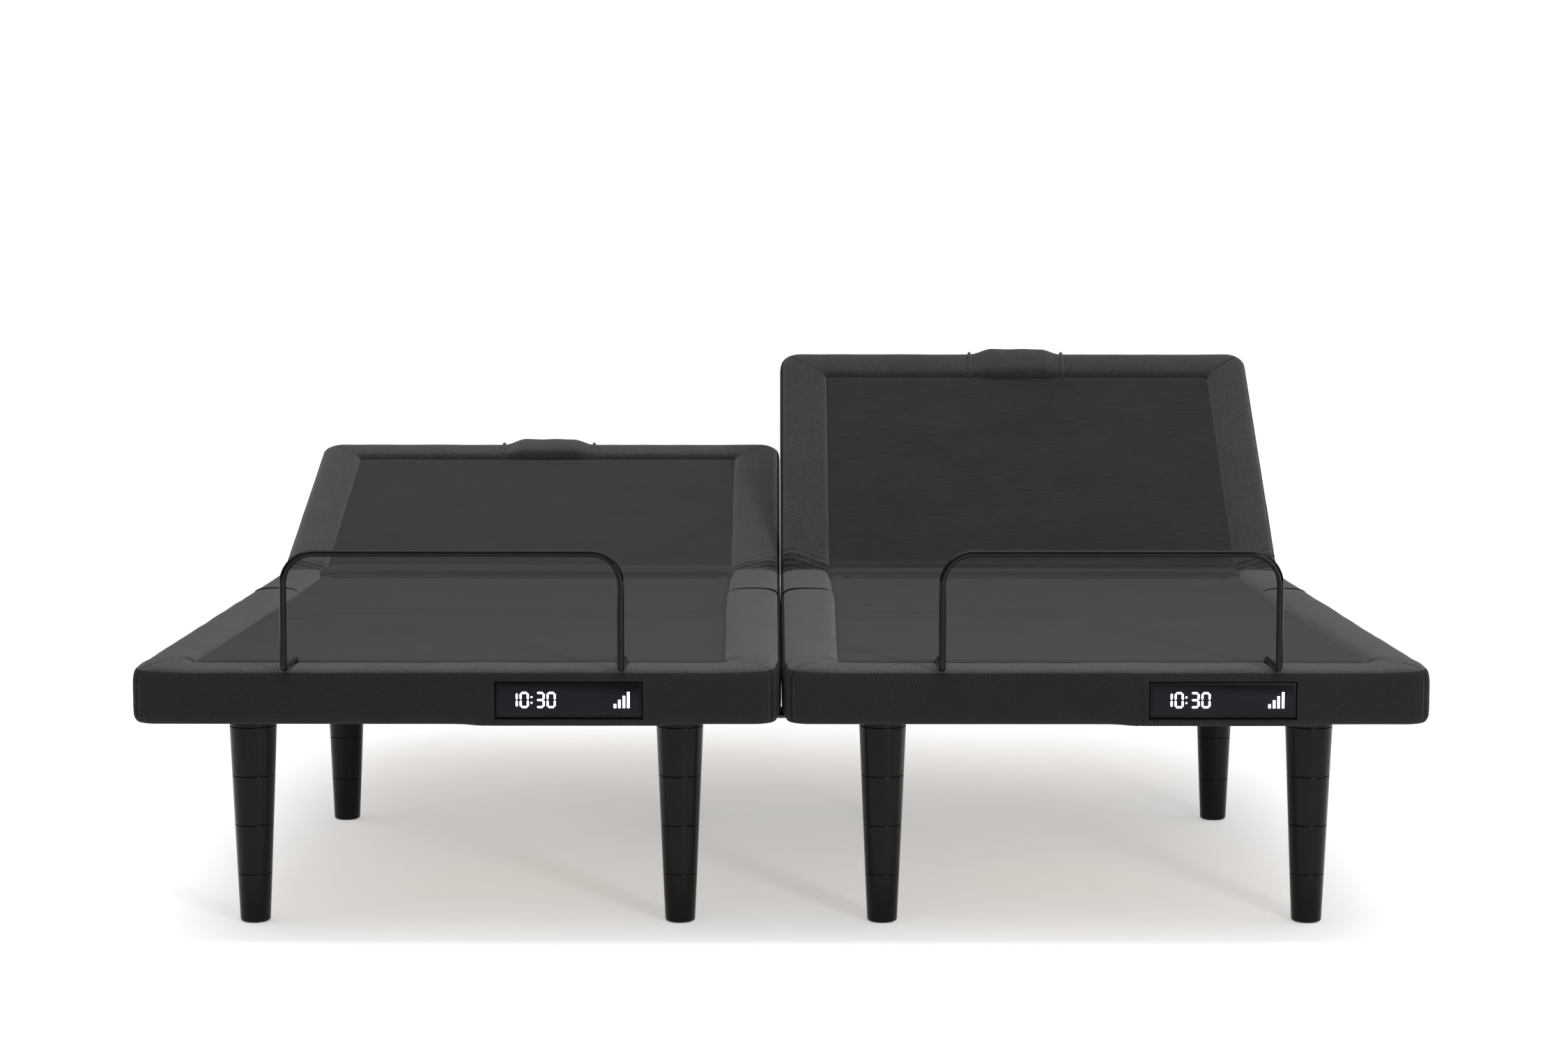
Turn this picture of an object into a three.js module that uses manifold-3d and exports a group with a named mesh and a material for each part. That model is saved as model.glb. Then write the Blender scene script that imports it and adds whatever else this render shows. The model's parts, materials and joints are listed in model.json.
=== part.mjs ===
// A split adjustable bed base: two upholstered lift bases stand side by side on round stacked legs.
// Each half lifts its head deck and its thigh and foot decks with its own two linear actuators.
// Millimetres, +Z up, +X to the right when seen from the foot end, +Y towards the head end.
// The group's origin is on the floor under the middle of the pair.

import * as THREE from 'three';
import { mergeVertices } from 'three/addons/utils/BufferGeometryUtils.js';
import Module from 'manifold-3d';

const wasm = await Module();
wasm.setup();

// ---- driving dimensions -------------------------------------------------------------------------

const unitSpacing = 965; // between the middle planes of the two halves
const faceHalf = 478.5; // half the width of the padded foot face
const sideHalf = 472; // half the width behind the face
const faceDepth = 60; // how far back the wider face runs
const lengthToMiddle = 1001; // from the foot face to the middle of the overall length

const thighAxisY = 1060; // the deck joints, measured from the foot face
const kneeAxisY = 718;
const headAxisY = 1399;
const axisZ = 400; // height of all three joints
const headLength = 642; // from the head joint to the head end

const skirtBottom = 331;
const borderTop = 424; // crest of the padded border
const footBorderTop = 417; // the border is lower across the foot end
const padTop = 416; // thin padding over the boards
const boardTop = 410;
const boardThick = 18;
const borderWidth = 90; // padded border seen from above
const skirtThick = 84; // padding from the outside to the hollow
const edgeRound = 12;
const gap = 0.3; // between touching pieces
const jointClear = 16; // from a joint's axis to the edge of a board
const kneeClear = 23; // the foot board folds down past the thigh's knuckles

const headRest = { left: 19.3, right: 39.9 }; // degrees above flat
const headLimit = 60;
const thighLimit = 35;
const kneeRatio = 1.2; // knee turn for each degree of thigh turn

const legHeight = 351.2;
const legSegment = 76.2;
const legFloorRadius = 23.1;
const legTopRadius = 36;
const footLegs = { x: 327, y: 187 };
const headLegs = { x: 306, y: 1075 };

const railX = 317;
const rail = { width: 30, height: 38, wall: 2, bottom: 351.5, from: 110, to: 1418 };
const crossWidth = 30;
const crossHeight = 25;
const tubeRadius = 8; // lift tubes on the deck joints
const journalRadius = 5;
const pinRadius = 6;
const armX = 100; // lift arms under the boards, from the middle plane
const armThick = 12;
const armBottom = 378;
const armTop = boardTop - boardThick - 2 * gap;
const cheekInner = 8; // fork cheeks, each side of a 12 mm eye
const cheekOuter = 13;
const eyeThick = 12;

// A drive turns its swing and its reach in proportion to the deck angle, so its rod eye keeps to the
// lug pin within the eye's clearance. Angles in radians from level, lengths per radian of deck angle.
const headDrive = {
  x: 70,
  base: [930, 330],
  lug: [0, -90],
  swingFlat: -0.0521,
  swingRatio: 0.0859,
  reachFlat: 472.05,
  reachRatio: 74.86,
  barrelEnd: 400,
  eyeHole: 12.3,
};
const legDrive = {
  x: -70,
  base: [1370, 310],
  lug: [-20, -90],
  swingFlat: -0.0044,
  swingRatio: 0.1211,
  reachFlat: 330.81,
  reachRatio: 80.41,
  barrelEnd: 262,
  eyeHole: 8.6,
};
const footLink = { base: [900, 362], tip: [598, 370], tipHole: 7.6 };

const bar = { half: 247, top: 588, foot: 418, front: -20, socketY: 97, radius: 5, bend: 45, elbow: 9 };
const display = { x: 168.5, z: 369, width: 217, height: 53, depth: 22, setBack: 2.5 };
const centrePad = { half: 95, proud: 10, over: 6 };
const box = { x: [130, 270], y: [1120, 1300], z: [335, 389] };
const inlet = { x: 200, z: 361, width: 30, height: 22, depth: 15 };
const tiePlate = { z: 322, thick: 4, width: 96, hole: 36.8 };

// ---- finishes -----------------------------------------------------------------------------------

const finish = (color, roughness, metalness) => () =>
  new THREE.MeshStandardMaterial({ color, roughness, metalness });
const upholstery = finish(0x8f9094, 0.95, 0);
const plywood = finish(0xb59468, 0.8, 0);
const blackSteel = finish(0x1c1d1f, 0.45, 0.6);
const zinc = finish(0xa9adb2, 0.35, 0.9);
const legPlastic = finish(0x161617, 0.35, 0);
const motorGrey = finish(0x3a3c3f, 0.55, 0.2);
const darkPlastic = finish(0x222326, 0.6, 0);
const displayGloss = finish(0x0b0c0e, 0.12, 0);

// ---- solids -------------------------------------------------------------------------------------

function solid(geometry) {
  const bare = geometry.clone();
  bare.deleteAttribute('normal');
  bare.deleteAttribute('uv');
  const merged = mergeVertices(bare, 1e-4);
  return new wasm.Manifold(
    new wasm.Mesh({
      numProp: 3,
      vertProperties: new Float32Array(merged.attributes.position.array),
      triVerts: new Uint32Array(merged.index.array),
    }),
  );
}

function geometryOf(manifold) {
  const mesh = manifold.getMesh();
  const geometry = new THREE.BufferGeometry();
  geometry.setAttribute('position', new THREE.BufferAttribute(mesh.vertProperties, 3));
  geometry.setIndex(new THREE.BufferAttribute(mesh.triVerts, 1));
  return geometry;
}

const join = (...parts) => parts.reduce((sum, part) => sum.add(part));
const cut = (body, ...tools) => tools.reduce((rest, tool) => rest.subtract(tool), body);

function block([x0, x1], [y0, y1], [z0, z1]) {
  const geometry = new THREE.BoxGeometry(x1 - x0, y1 - y0, z1 - z0);
  return solid(geometry.translate((x0 + x1) / 2, (y0 + y1) / 2, (z0 + z1) / 2));
}

// A round bar along X.
function barX(radius, [x0, x1], [y, z], sides = 10) {
  const geometry = new THREE.CylinderGeometry(radius, radius, x1 - x0, sides);
  return solid(geometry.rotateZ(Math.PI / 2).translate((x0 + x1) / 2, y, z));
}

function barY(radius, [y0, y1], [x, z], sides = 12) {
  const geometry = new THREE.CylinderGeometry(radius, radius, y1 - y0, sides);
  return solid(geometry.translate(x, (y0 + y1) / 2, z));
}

function barZ(radius, [z0, z1], [x, y], sides = 12) {
  const geometry = new THREE.CylinderGeometry(radius, radius, z1 - z0, sides);
  return solid(geometry.rotateX(Math.PI / 2).translate(x, y, (z0 + z1) / 2));
}

// A flat strap across X from one (y, z) point to another, where it has a round end.
function strap([x0, x1], from, to, radius) {
  const [dy, dz] = [to[0] - from[0], to[1] - from[1]];
  const length = Math.hypot(dy, dz);
  const geometry = new THREE.BoxGeometry(x1 - x0, length, 2 * radius);
  geometry.rotateX(Math.atan2(dz, dy));
  geometry.translate((x0 + x1) / 2, (from[0] + to[0]) / 2, (from[1] + to[1]) / 2);
  return join(solid(geometry), barX(radius, [x0, x1], to));
}

// A pair of fork cheeks about the plane x, with a pin between them at the end.
function fork(x, from, to, radius) {
  return join(
    strap([x - cheekOuter, x - cheekInner], from, to, radius),
    strap([x + cheekInner, x + cheekOuter], from, to, radius),
    barX(pinRadius, [x - cheekInner - 1, x + cheekInner + 1], to),
  );
}

// ---- upholstered covers -------------------------------------------------------------------------

// The room that a fold needs: a wedge across the bed with its tip on the joint.
function foldWedge(y, degrees, upwards) {
  const reach = 200;
  const half = Math.tan(THREE.MathUtils.degToRad(degrees / 2 + 1.5)) * reach;
  const side = upwards ? 1 : -1;
  const outline = new THREE.Shape([
    new THREE.Vector2(y, axisZ),
    new THREE.Vector2(y + half * side, axisZ + reach * side),
    new THREE.Vector2(y - half * side, axisZ + reach * side),
  ]);
  const geometry = new THREE.ExtrudeGeometry(outline, { depth: 2 * faceHalf + 20, bevelEnabled: false });
  // The outline's (x, y) become the bed's (y, z), and its depth becomes x.
  geometry.applyMatrix4(new THREE.Matrix4().makeBasis(
    new THREE.Vector3(0, 1, 0),
    new THREE.Vector3(0, 0, 1),
    new THREE.Vector3(1, 0, 0),
  ));
  return solid(geometry.translate(-faceHalf - 10, 0, 0));
}

// A padded slab with softened edges, drawn in plan and standing from z0 to z1.
function paddedSlab(outline, z0, z1, round = edgeRound) {
  const geometry = new THREE.ExtrudeGeometry(outline, {
    depth: z1 - z0 - 2 * round,
    bevelThickness: round,
    bevelSize: round,
    bevelOffset: -round,
    bevelSegments: 2,
    curveSegments: 4,
  });
  return solid(geometry.translate(0, 0, z0 + round));
}

// Plan outline of a deck cover; a closed end has rounded corners.
function coverOutline(y0, y1, closed) {
  const shape = new THREE.Shape();
  const corner = 34;
  if (closed === 'foot') {
    shape.moveTo(-faceHalf + corner, y0);
    shape.lineTo(faceHalf - corner, y0);
    shape.quadraticCurveTo(faceHalf, y0, faceHalf, y0 + corner);
    shape.lineTo(sideHalf, y0 + faceDepth);
    shape.lineTo(sideHalf, y1);
    shape.lineTo(-sideHalf, y1);
    shape.lineTo(-sideHalf, y0 + faceDepth);
    shape.lineTo(-faceHalf, y0 + corner);
    shape.quadraticCurveTo(-faceHalf, y0, -faceHalf + corner, y0);
    return shape;
  }
  shape.moveTo(-sideHalf, y0);
  shape.lineTo(sideHalf, y0);
  if (closed === 'head') {
    shape.lineTo(sideHalf, y1 - corner);
    shape.quadraticCurveTo(sideHalf, y1, sideHalf - corner, y1);
    shape.lineTo(-sideHalf + corner, y1);
    shape.quadraticCurveTo(-sideHalf, y1, -sideHalf, y1 - corner);
  } else {
    shape.lineTo(sideHalf, y1);
    shape.lineTo(-sideHalf, y1);
  }
  return shape;
}

// A deck cover: thin padding over the board, a padded border round it and skirts down the sides.
function deckCover(y0, y1, closed) {
  const hollowFrom = closed === 'foot' ? y0 + skirtThick : y0 - 10;
  const hollowTo = closed === 'head' ? y1 - skirtThick : y1 + 10;
  const recessFrom = closed === 'foot' ? y0 + borderWidth : y0 - 10;
  const recessTo = closed === 'head' ? y1 - borderWidth : y1 + 10;
  const inner = sideHalf - skirtThick;
  const recess = sideHalf - borderWidth + 2;
  return cut(
    paddedSlab(coverOutline(y0, y1, closed), skirtBottom, borderTop),
    block([-inner, inner], [hollowFrom, hollowTo], [skirtBottom - 10, boardTop + gap]),
    block([-recess, recess], [recessFrom, recessTo], [padTop, borderTop + 10]),
  );
}

function footCover() {
  const { width, height, depth, setBack } = display;
  const pocket = 0.5;
  const sockets = [-bar.half, bar.half].flatMap((x) => [
    barZ(bar.radius + 3, [skirtBottom, borderTop + 10], [x, bar.socketY]),
    barY(bar.radius + 2.6, [-40, bar.socketY + 3], [x, bar.foot]),
    block([x - bar.radius - 2, x + bar.radius + 2], [-40, bar.socketY + 3], [bar.foot, borderTop + 10]),
  ]);
  return cut(
    deckCover(0, kneeAxisY - gap, 'foot'),
    foldWedge(kneeAxisY, thighLimit * kneeRatio, false),
    block([-faceHalf, faceHalf], [-10, borderWidth], [footBorderTop, borderTop + 10]),
    block(
      [display.x - width / 2 - pocket, display.x + width / 2 + pocket],
      [-10, setBack + depth + pocket],
      [display.z - height / 2 - pocket, display.z + height / 2 + pocket],
    ),
    ...sockets,
  );
}

function thighCover() {
  return cut(
    deckCover(kneeAxisY + gap, thighAxisY - gap, 'none'),
    foldWedge(kneeAxisY, thighLimit * kneeRatio, false),
    foldWedge(thighAxisY, thighLimit, true),
  );
}

function seatCover() {
  return cut(
    deckCover(thighAxisY + gap, headAxisY - gap, 'none'),
    foldWedge(thighAxisY, thighLimit, true),
    foldWedge(headAxisY, headLimit, true),
  );
}

function headCover() {
  const end = headAxisY + headLength;
  const notch = centrePad.half + gap;
  return cut(
    deckCover(headAxisY + gap, end, 'head'),
    foldWedge(headAxisY, headLimit, true),
    block([-notch, notch], [end - borderWidth, end + 10], [skirtBottom - 10, borderTop + 10]),
  );
}

// The thicker padded module in the middle of the head end.
function headCentrePad() {
  const end = headAxisY + headLength;
  const shape = new THREE.Shape([
    new THREE.Vector2(-centrePad.half, end - borderWidth + gap),
    new THREE.Vector2(centrePad.half, end - borderWidth + gap),
    new THREE.Vector2(centrePad.half, end + centrePad.over),
    new THREE.Vector2(-centrePad.half, end + centrePad.over),
  ]);
  return paddedSlab(shape, skirtBottom, borderTop + centrePad.proud, 8);
}

// ---- boards and frame ---------------------------------------------------------------------------

function board(y0, y1) {
  const half = sideHalf - skirtThick - 4;
  return block([-half, half], [y0, y1], [boardTop - boardThick, boardTop]);
}

function footBoard() {
  const holes = [-bar.half, bar.half].map((x) =>
    barZ(bar.radius + 3, [skirtBottom, borderTop], [x, bar.socketY]),
  );
  return cut(board(skirtThick + 2, kneeAxisY - kneeClear), ...holes);
}

// A side rail: a rectangular tube with two ears that carry the lift tubes' journals.
function sideRail(side) {
  const { width, height, wall, bottom, from, to } = rail;
  const x = side * railX;
  const ear = [x - side * (width / 2) - side * 0.5, x - side * (width / 2) + side * 6];
  const earX = [Math.min(...ear), Math.max(...ear)];
  const tube = cut(
    block([x - width / 2, x + width / 2], [from, to], [bottom, bottom + height]),
    block(
      [x - width / 2 + wall, x + width / 2 - wall],
      [from - 1, to + 1],
      [bottom + wall, bottom + height - wall],
    ),
  );
  const ears = [thighAxisY, headAxisY].map((y) =>
    join(barX(9, earX, [y, axisZ]), block(earX, [y - 9, y + 9], [bottom + height - 2, axisZ])),
  );
  const bores = [thighAxisY, headAxisY].map((y) =>
    barX(journalRadius + 0.6, [earX[0] - 4, earX[1] + 4], [y, axisZ]),
  );
  return cut(join(tube, ...ears), ...bores);
}

function crossBar(y, bottom) {
  const half = railX - rail.width / 2 - gap;
  const wall = rail.wall;
  return cut(
    block([-half, half], [y - crossWidth / 2, y + crossWidth / 2], [bottom, bottom + crossHeight]),
    block(
      [-half - 1, half + 1],
      [y - crossWidth / 2 + wall, y + crossWidth / 2 - wall],
      [bottom + wall, bottom + crossHeight - wall],
    ),
  );
}

// The middle cross bar carries the head actuator's pivot and the foot link's pivot.
function middleCrossBar() {
  const y = headDrive.base[0];
  return join(
    crossBar(y, rail.bottom),
    fork(headDrive.x, [y, rail.bottom + 8], headDrive.base, 11).subtract(
      block([0, 200], [y - 30, y + 30], [rail.bottom + 1, rail.bottom + 60]),
    ),
    fork(0, [y - 8, footLink.base[1] + 1], footLink.base, 10).subtract(
      block([-50, 50], [y - crossWidth / 2 + 1, y + 60], [rail.bottom - 40, rail.bottom + 60]),
    ),
  );
}

// The head cross bar carries the leg actuator's pivot.
function headCrossBar() {
  const y = legDrive.base[0] - 25;
  const bottom = rail.bottom + rail.height - crossHeight;
  return join(
    crossBar(y, bottom),
    fork(legDrive.x, [y + 4, bottom + 8], legDrive.base, 11).subtract(
      block([-200, 0], [y - 40, y + crossWidth / 2 + 20], [bottom + 1, bottom + 60]),
    ),
  );
}

// One stacked leg: threaded segments that taper to the floor, under a plain collar.
function legGeometry() {
  const groove = 1.2;
  const radiusAt = (z) => legFloorRadius + ((legTopRadius - legFloorRadius) * z) / (4 * legSegment);
  const profile = [new THREE.Vector2(0, 0), new THREE.Vector2(legFloorRadius - 3, 0)];
  profile.push(new THREE.Vector2(legFloorRadius, 3.5));
  for (let seam = 1; seam <= 4; seam++) {
    const z = seam * legSegment;
    profile.push(new THREE.Vector2(radiusAt(z), z - groove));
    profile.push(new THREE.Vector2(radiusAt(z) - groove, z));
  }
  profile.push(new THREE.Vector2(legTopRadius, legHeight), new THREE.Vector2(0, legHeight));
  return new THREE.LatheGeometry(profile, 12).rotateX(Math.PI / 2);
}

function controlBox() {
  const lidLine = 1;
  const [y0, y1] = box.y;
  return cut(
    block(box.x, box.y, box.z),
    block(
      [inlet.x - inlet.width / 2, inlet.x + inlet.width / 2],
      [y0 - 1, y0 + inlet.depth],
      [inlet.z - inlet.height / 2, inlet.z + inlet.height / 2],
    ),
    block([box.x[0] - 1, box.x[0] + lidLine], [y0 - 1, y1 + 1], [345, 347]),
    block([box.x[1] - lidLine, box.x[1] + 1], [y0 - 1, y1 + 1], [345, 347]),
  );
}

// A plate round two neighbouring legs that ties the halves together.
function tieGeometry(legX) {
  const x = unitSpacing / 2 - legX;
  const radius = tiePlate.width / 2;
  const shape = new THREE.Shape();
  shape.absarc(x, 0, radius, -Math.PI / 2, Math.PI / 2, false);
  shape.absarc(-x, 0, radius, Math.PI / 2, (3 * Math.PI) / 2, false);
  for (const side of [-1, 1]) {
    const hole = new THREE.Path();
    hole.absarc(side * x, 0, tiePlate.hole, 0, 2 * Math.PI, true);
    shape.holes.push(hole);
  }
  return new THREE.ExtrudeGeometry(shape, {
    depth: tiePlate.thick,
    bevelEnabled: false,
    curveSegments: 8,
  });
}

// ---- lift gear ----------------------------------------------------------------------------------

function liftTube(y) {
  const inside = railX - rail.width / 2 - 1;
  return join(
    barX(tubeRadius, [-inside, inside], [y, axisZ]),
    barX(journalRadius, [-inside - 6, inside + 6], [y, axisZ]),
  );
}

function liftArms(y0, y1, tubeY) {
  const arms = [-armX, armX].map((x) => {
    const across = [x - armThick / 2, x + armThick / 2];
    return join(
      block(across, [y0, y1], [armBottom, armTop]),
      block(across, [tubeY - 9, tubeY + 9], [armBottom, axisZ]),
    );
  });
  return join(...arms);
}

function lugPoint(axisY, { lug }) {
  return [axisY + lug[0], axisZ + lug[1]];
}

function headLiftBracket() {
  const lever = fork(headDrive.x, [headAxisY, axisZ], lugPoint(headAxisY, headDrive), 11);
  return join(liftTube(headAxisY), liftArms(headAxisY - 9, headAxisY + 380, headAxisY), lever);
}

function thighLiftBracket() {
  const lever = fork(legDrive.x, [thighAxisY, axisZ], lugPoint(thighAxisY, legDrive), 11);
  const knuckles = [-armX, armX].map((x) => {
    const across = [x - armThick / 2, x + armThick / 2];
    return join(
      barX(9, across, [kneeAxisY, axisZ]),
      block(across, [kneeAxisY - 9, kneeAxisY + 9], [armBottom, axisZ]),
    );
  });
  const bore = barX(journalRadius + 0.6, [-armX - 20, armX + 20], [kneeAxisY, axisZ]);
  const arms = liftArms(kneeAxisY - 9, thighAxisY + 9, thighAxisY);
  return join(liftTube(thighAxisY), lever, join(arms, ...knuckles).subtract(bore));
}

function footLinkBracket() {
  const inside = armX - armThick / 2 - 1;
  const plate = 60;
  return join(
    barX(tubeRadius, [-inside, inside], [kneeAxisY, axisZ]),
    barX(journalRadius, [-inside - 10, inside + 10], [kneeAxisY, axisZ]),
    block([-plate, plate], [560, kneeAxisY - 4], [armTop - 6, armTop]),
    block([-plate, plate], [kneeAxisY - 14, kneeAxisY - 4], [armTop - 6, axisZ]),
    fork(0, [footLink.tip[0], armTop - 4], footLink.tip, 10).subtract(
      block([-50, 50], [560, 640], [armTop - 1, armTop + 40]),
    ),
  );
}

function footLinkSolid() {
  const across = [-eyeThick / 2, eyeThick / 2];
  return cut(
    join(strap(across, footLink.base, footLink.tip, 8), barX(12, across, footLink.base),
      barX(13, across, footLink.tip)),
    barX(pinRadius + 0.6, [-20, 20], footLink.base),
    barX(footLink.tipHole, [-20, 20], footLink.tip),
  );
}

// An actuator from its rear pivot at the origin, pointing along +Y, with its motor underneath.
function actuatorSolid({ barrelEnd }) {
  const across = [-eyeThick / 2, eyeThick / 2];
  return cut(
    join(
      barX(12, across, [0, 0]),
      block(across, [0, 30], [-9, 9]),
      block([-27, 27], [24, 80], [-74, 24]),
      barY(15, [78, barrelEnd], [0, 0]),
      barY(18, [barrelEnd - 14, barrelEnd], [0, 0]),
      barY(26, [78, 170], [0, -47], 16),
    ),
    barX(pinRadius + 0.6, [-20, 20], [0, 0]),
    barY(8, [92, barrelEnd + 1], [0, 0]),
  );
}

// A push rod with its eye at the origin; the rod runs back along -Y.
function rodSolid({ eyeHole, reachFlat }) {
  const across = [-eyeThick / 2, eyeThick / 2];
  return cut(
    join(barX(eyeHole + 5, across, [0, 0], 16), barY(7, [105 - reachFlat, -eyeHole - 1], [0, 0])),
    barX(eyeHole, [-20, 20], [0, 0], 16),
  );
}

// ---- trim ---------------------------------------------------------------------------------------

// The bent rod that keeps the mattress from sliding: sockets, feet over the border, uprights, top.
function retainerGeometry() {
  const { half, top, foot, front, socketY, bend, elbow } = bar;
  const path = new THREE.CurvePath();
  const points = [
    [-half, socketY, 394],
    [-half, socketY, foot],
    [-half, front, foot],
    [-half, front, top],
    [half, front, top],
    [half, front, foot],
    [half, socketY, foot],
    [half, socketY, 394],
  ].map((p) => new THREE.Vector3(...p));
  const radii = [0, elbow, elbow, bend, bend, elbow, elbow, 0];
  let start = points[0];
  for (let i = 1; i < points.length - 1; i++) {
    const before = points[i - 1].clone().sub(points[i]).setLength(radii[i]).add(points[i]);
    const after = points[i + 1].clone().sub(points[i]).setLength(radii[i]).add(points[i]);
    path.add(new THREE.LineCurve3(start, before));
    path.add(new THREE.QuadraticBezierCurve3(before, points[i], after));
    start = after;
  }
  path.add(new THREE.LineCurve3(start, points.at(-1)));
  const section = new THREE.Shape();
  section.absarc(0, 0, bar.radius, 0, 2 * Math.PI, false);
  return new THREE.ExtrudeGeometry(section, { steps: 64, extrudePath: path, curveSegments: 3 });
}

// The front display module: a flat case with a shallow window step.
function displaySolid() {
  const { x, z, width, height, depth, setBack } = display;
  const rim = 4;
  return cut(
    block([x - width / 2, x + width / 2], [setBack, setBack + depth], [z - height / 2, z + height / 2]),
    block(
      [x - width / 2 + rim, x + width / 2 - rim],
      [setBack - 1, setBack + 1],
      [z - height / 2 + rim, z + height / 2 - rim],
    ),
  );
}

// ---- assembly -----------------------------------------------------------------------------------

const bed = new THREE.Group();

function add(parent, name, shape, material) {
  const geometry = shape.isBufferGeometry ? shape : geometryOf(shape);
  const mesh = new THREE.Mesh(geometry, material());
  mesh.name = name;
  parent.add(mesh);
  return mesh;
}

// Turns a mesh whose geometry is drawn flat about a joint's axis.
function turnAbout(mesh, y, z, angle) {
  mesh.geometry.translate(0, -y, -z);
  mesh.rotation.x = angle;
  mesh.position.set(mesh.position.x, y, z);
}

// Places a drive's actuator and rod for a deck angle; way is 1 towards the head and -1 to the foot.
function addDrive(unit, prefix, name, drive, deckAngle, way) {
  const swing = way * (drive.swingFlat + drive.swingRatio * deckAngle);
  const reach = drive.reachFlat + drive.reachRatio * deckAngle;
  const pivot = new THREE.Group();
  pivot.position.set(drive.x, ...drive.base);
  pivot.rotation.x = swing;
  unit.add(pivot);
  const body = add(pivot, `${prefix}_${name}_actuator`, actuatorSolid(drive), motorGrey);
  const rod = add(pivot, `${prefix}_${name}_actuator_rod`, rodSolid(drive), zinc);
  if (way < 0) {
    body.rotation.z = Math.PI;
    rod.rotation.z = Math.PI;
  }
  rod.position.y = way * reach;
}

function addChassis(unit, prefix, outward) {
  const sides = [['outer', outward], ['inner', -outward]];
  for (const [word, side] of sides) {
    add(unit, `${prefix}_${word}_rail`, sideRail(side), blackSteel);
    for (const [end, place] of [['foot', footLegs], ['head', headLegs]]) {
      const leg = add(unit, `${prefix}_${end}_${word}_leg`, legGeometry(), legPlastic);
      leg.position.set(side * place.x, place.y, 0);
    }
  }
  add(unit, `${prefix}_foot_crossbar`, crossBar(footLegs.y, rail.bottom), blackSteel);
  add(unit, `${prefix}_middle_crossbar`, middleCrossBar(), blackSteel);
  add(unit, `${prefix}_head_crossbar`, headCrossBar(), blackSteel);
  add(unit, `${prefix}_control_box`, controlBox(), darkPlastic);
}

function addDecks(unit, prefix, headAngle) {
  const headPieces = [
    add(unit, `${prefix}_head_board`, board(headAxisY + jointClear, headAxisY + 549), plywood),
    add(unit, `${prefix}_head_cover`, headCover(), upholstery),
    add(unit, `${prefix}_head_centre_pad`, headCentrePad(), upholstery),
    add(unit, `${prefix}_head_lift_bracket`, headLiftBracket(), blackSteel),
  ];
  for (const piece of headPieces) turnAbout(piece, headAxisY, axisZ, headAngle);
  add(unit, `${prefix}_seat_board`, board(thighAxisY + jointClear, 1320), plywood);
  add(unit, `${prefix}_seat_cover`, seatCover(), upholstery);
  add(unit, `${prefix}_thigh_board`, board(kneeAxisY + jointClear, thighAxisY - jointClear), plywood);
  add(unit, `${prefix}_thigh_cover`, thighCover(), upholstery);
  add(unit, `${prefix}_thigh_lift_bracket`, thighLiftBracket(), blackSteel);
  add(unit, `${prefix}_foot_board`, footBoard(), plywood);
  add(unit, `${prefix}_foot_cover`, footCover(), upholstery);
  add(unit, `${prefix}_foot_link_bracket`, footLinkBracket(), blackSteel);
  add(unit, `${prefix}_foot_link`, footLinkSolid(), zinc);
  add(unit, `${prefix}_retainer_bar`, retainerGeometry(), blackSteel);
  add(unit, `${prefix}_display`, displaySolid(), displayGloss);
}

for (const [prefix, outward] of [['left', -1], ['right', 1]]) {
  const unit = new THREE.Group();
  unit.position.set((outward * unitSpacing) / 2, -lengthToMiddle, 0);
  bed.add(unit);
  const headAngle = THREE.MathUtils.degToRad(headRest[prefix]);
  addChassis(unit, prefix, outward);
  addDecks(unit, prefix, headAngle);
  addDrive(unit, prefix, 'head', headDrive, headAngle, 1);
  addDrive(unit, prefix, 'leg', legDrive, 0, -1);
}

for (const [end, place] of [['foot', footLegs], ['head', headLegs]]) {
  const tie = add(bed, `${end}_tie_plate`, tieGeometry(place.x), zinc);
  tie.position.set(0, place.y - lengthToMiddle, tiePlate.z);
}

export default bed;
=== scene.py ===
"""Looks, light and camera for a split adjustable bed base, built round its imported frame.

Every length is in metres. A half of the pair is drawn in its own plan first: x across from its middle
plane, y from its foot face towards the head end, z up from the floor, with every deck lying flat.
"""

import json
import logging
import math
from collections.abc import Callable, Iterable, Sequence
from dataclasses import dataclass
from enum import Enum

import bmesh
import bpy
from mathutils import Matrix, Vector, noise


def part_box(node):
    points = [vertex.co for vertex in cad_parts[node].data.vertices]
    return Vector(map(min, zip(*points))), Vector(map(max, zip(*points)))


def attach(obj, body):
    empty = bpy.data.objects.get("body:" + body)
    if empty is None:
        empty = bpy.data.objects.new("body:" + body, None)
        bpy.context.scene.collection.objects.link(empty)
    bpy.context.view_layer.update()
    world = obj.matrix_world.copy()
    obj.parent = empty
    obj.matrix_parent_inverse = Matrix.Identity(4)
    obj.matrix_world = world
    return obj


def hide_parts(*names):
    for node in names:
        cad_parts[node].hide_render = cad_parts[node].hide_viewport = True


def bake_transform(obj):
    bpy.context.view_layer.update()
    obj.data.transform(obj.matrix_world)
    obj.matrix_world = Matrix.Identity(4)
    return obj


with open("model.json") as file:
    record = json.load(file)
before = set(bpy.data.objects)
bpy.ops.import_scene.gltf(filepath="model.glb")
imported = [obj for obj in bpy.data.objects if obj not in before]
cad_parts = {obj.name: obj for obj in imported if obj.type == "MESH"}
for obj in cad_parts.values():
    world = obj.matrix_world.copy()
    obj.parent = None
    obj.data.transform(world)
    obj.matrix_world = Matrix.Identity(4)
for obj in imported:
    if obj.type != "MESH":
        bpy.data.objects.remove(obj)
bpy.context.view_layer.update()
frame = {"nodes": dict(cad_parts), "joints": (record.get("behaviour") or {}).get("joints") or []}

LOG = logging.getLogger("bed_base")
MM = 0.001

Place = Callable[[float, float, float], Vector]


# ---- curves and steps ---------------------------------------------------------------------------


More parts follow.
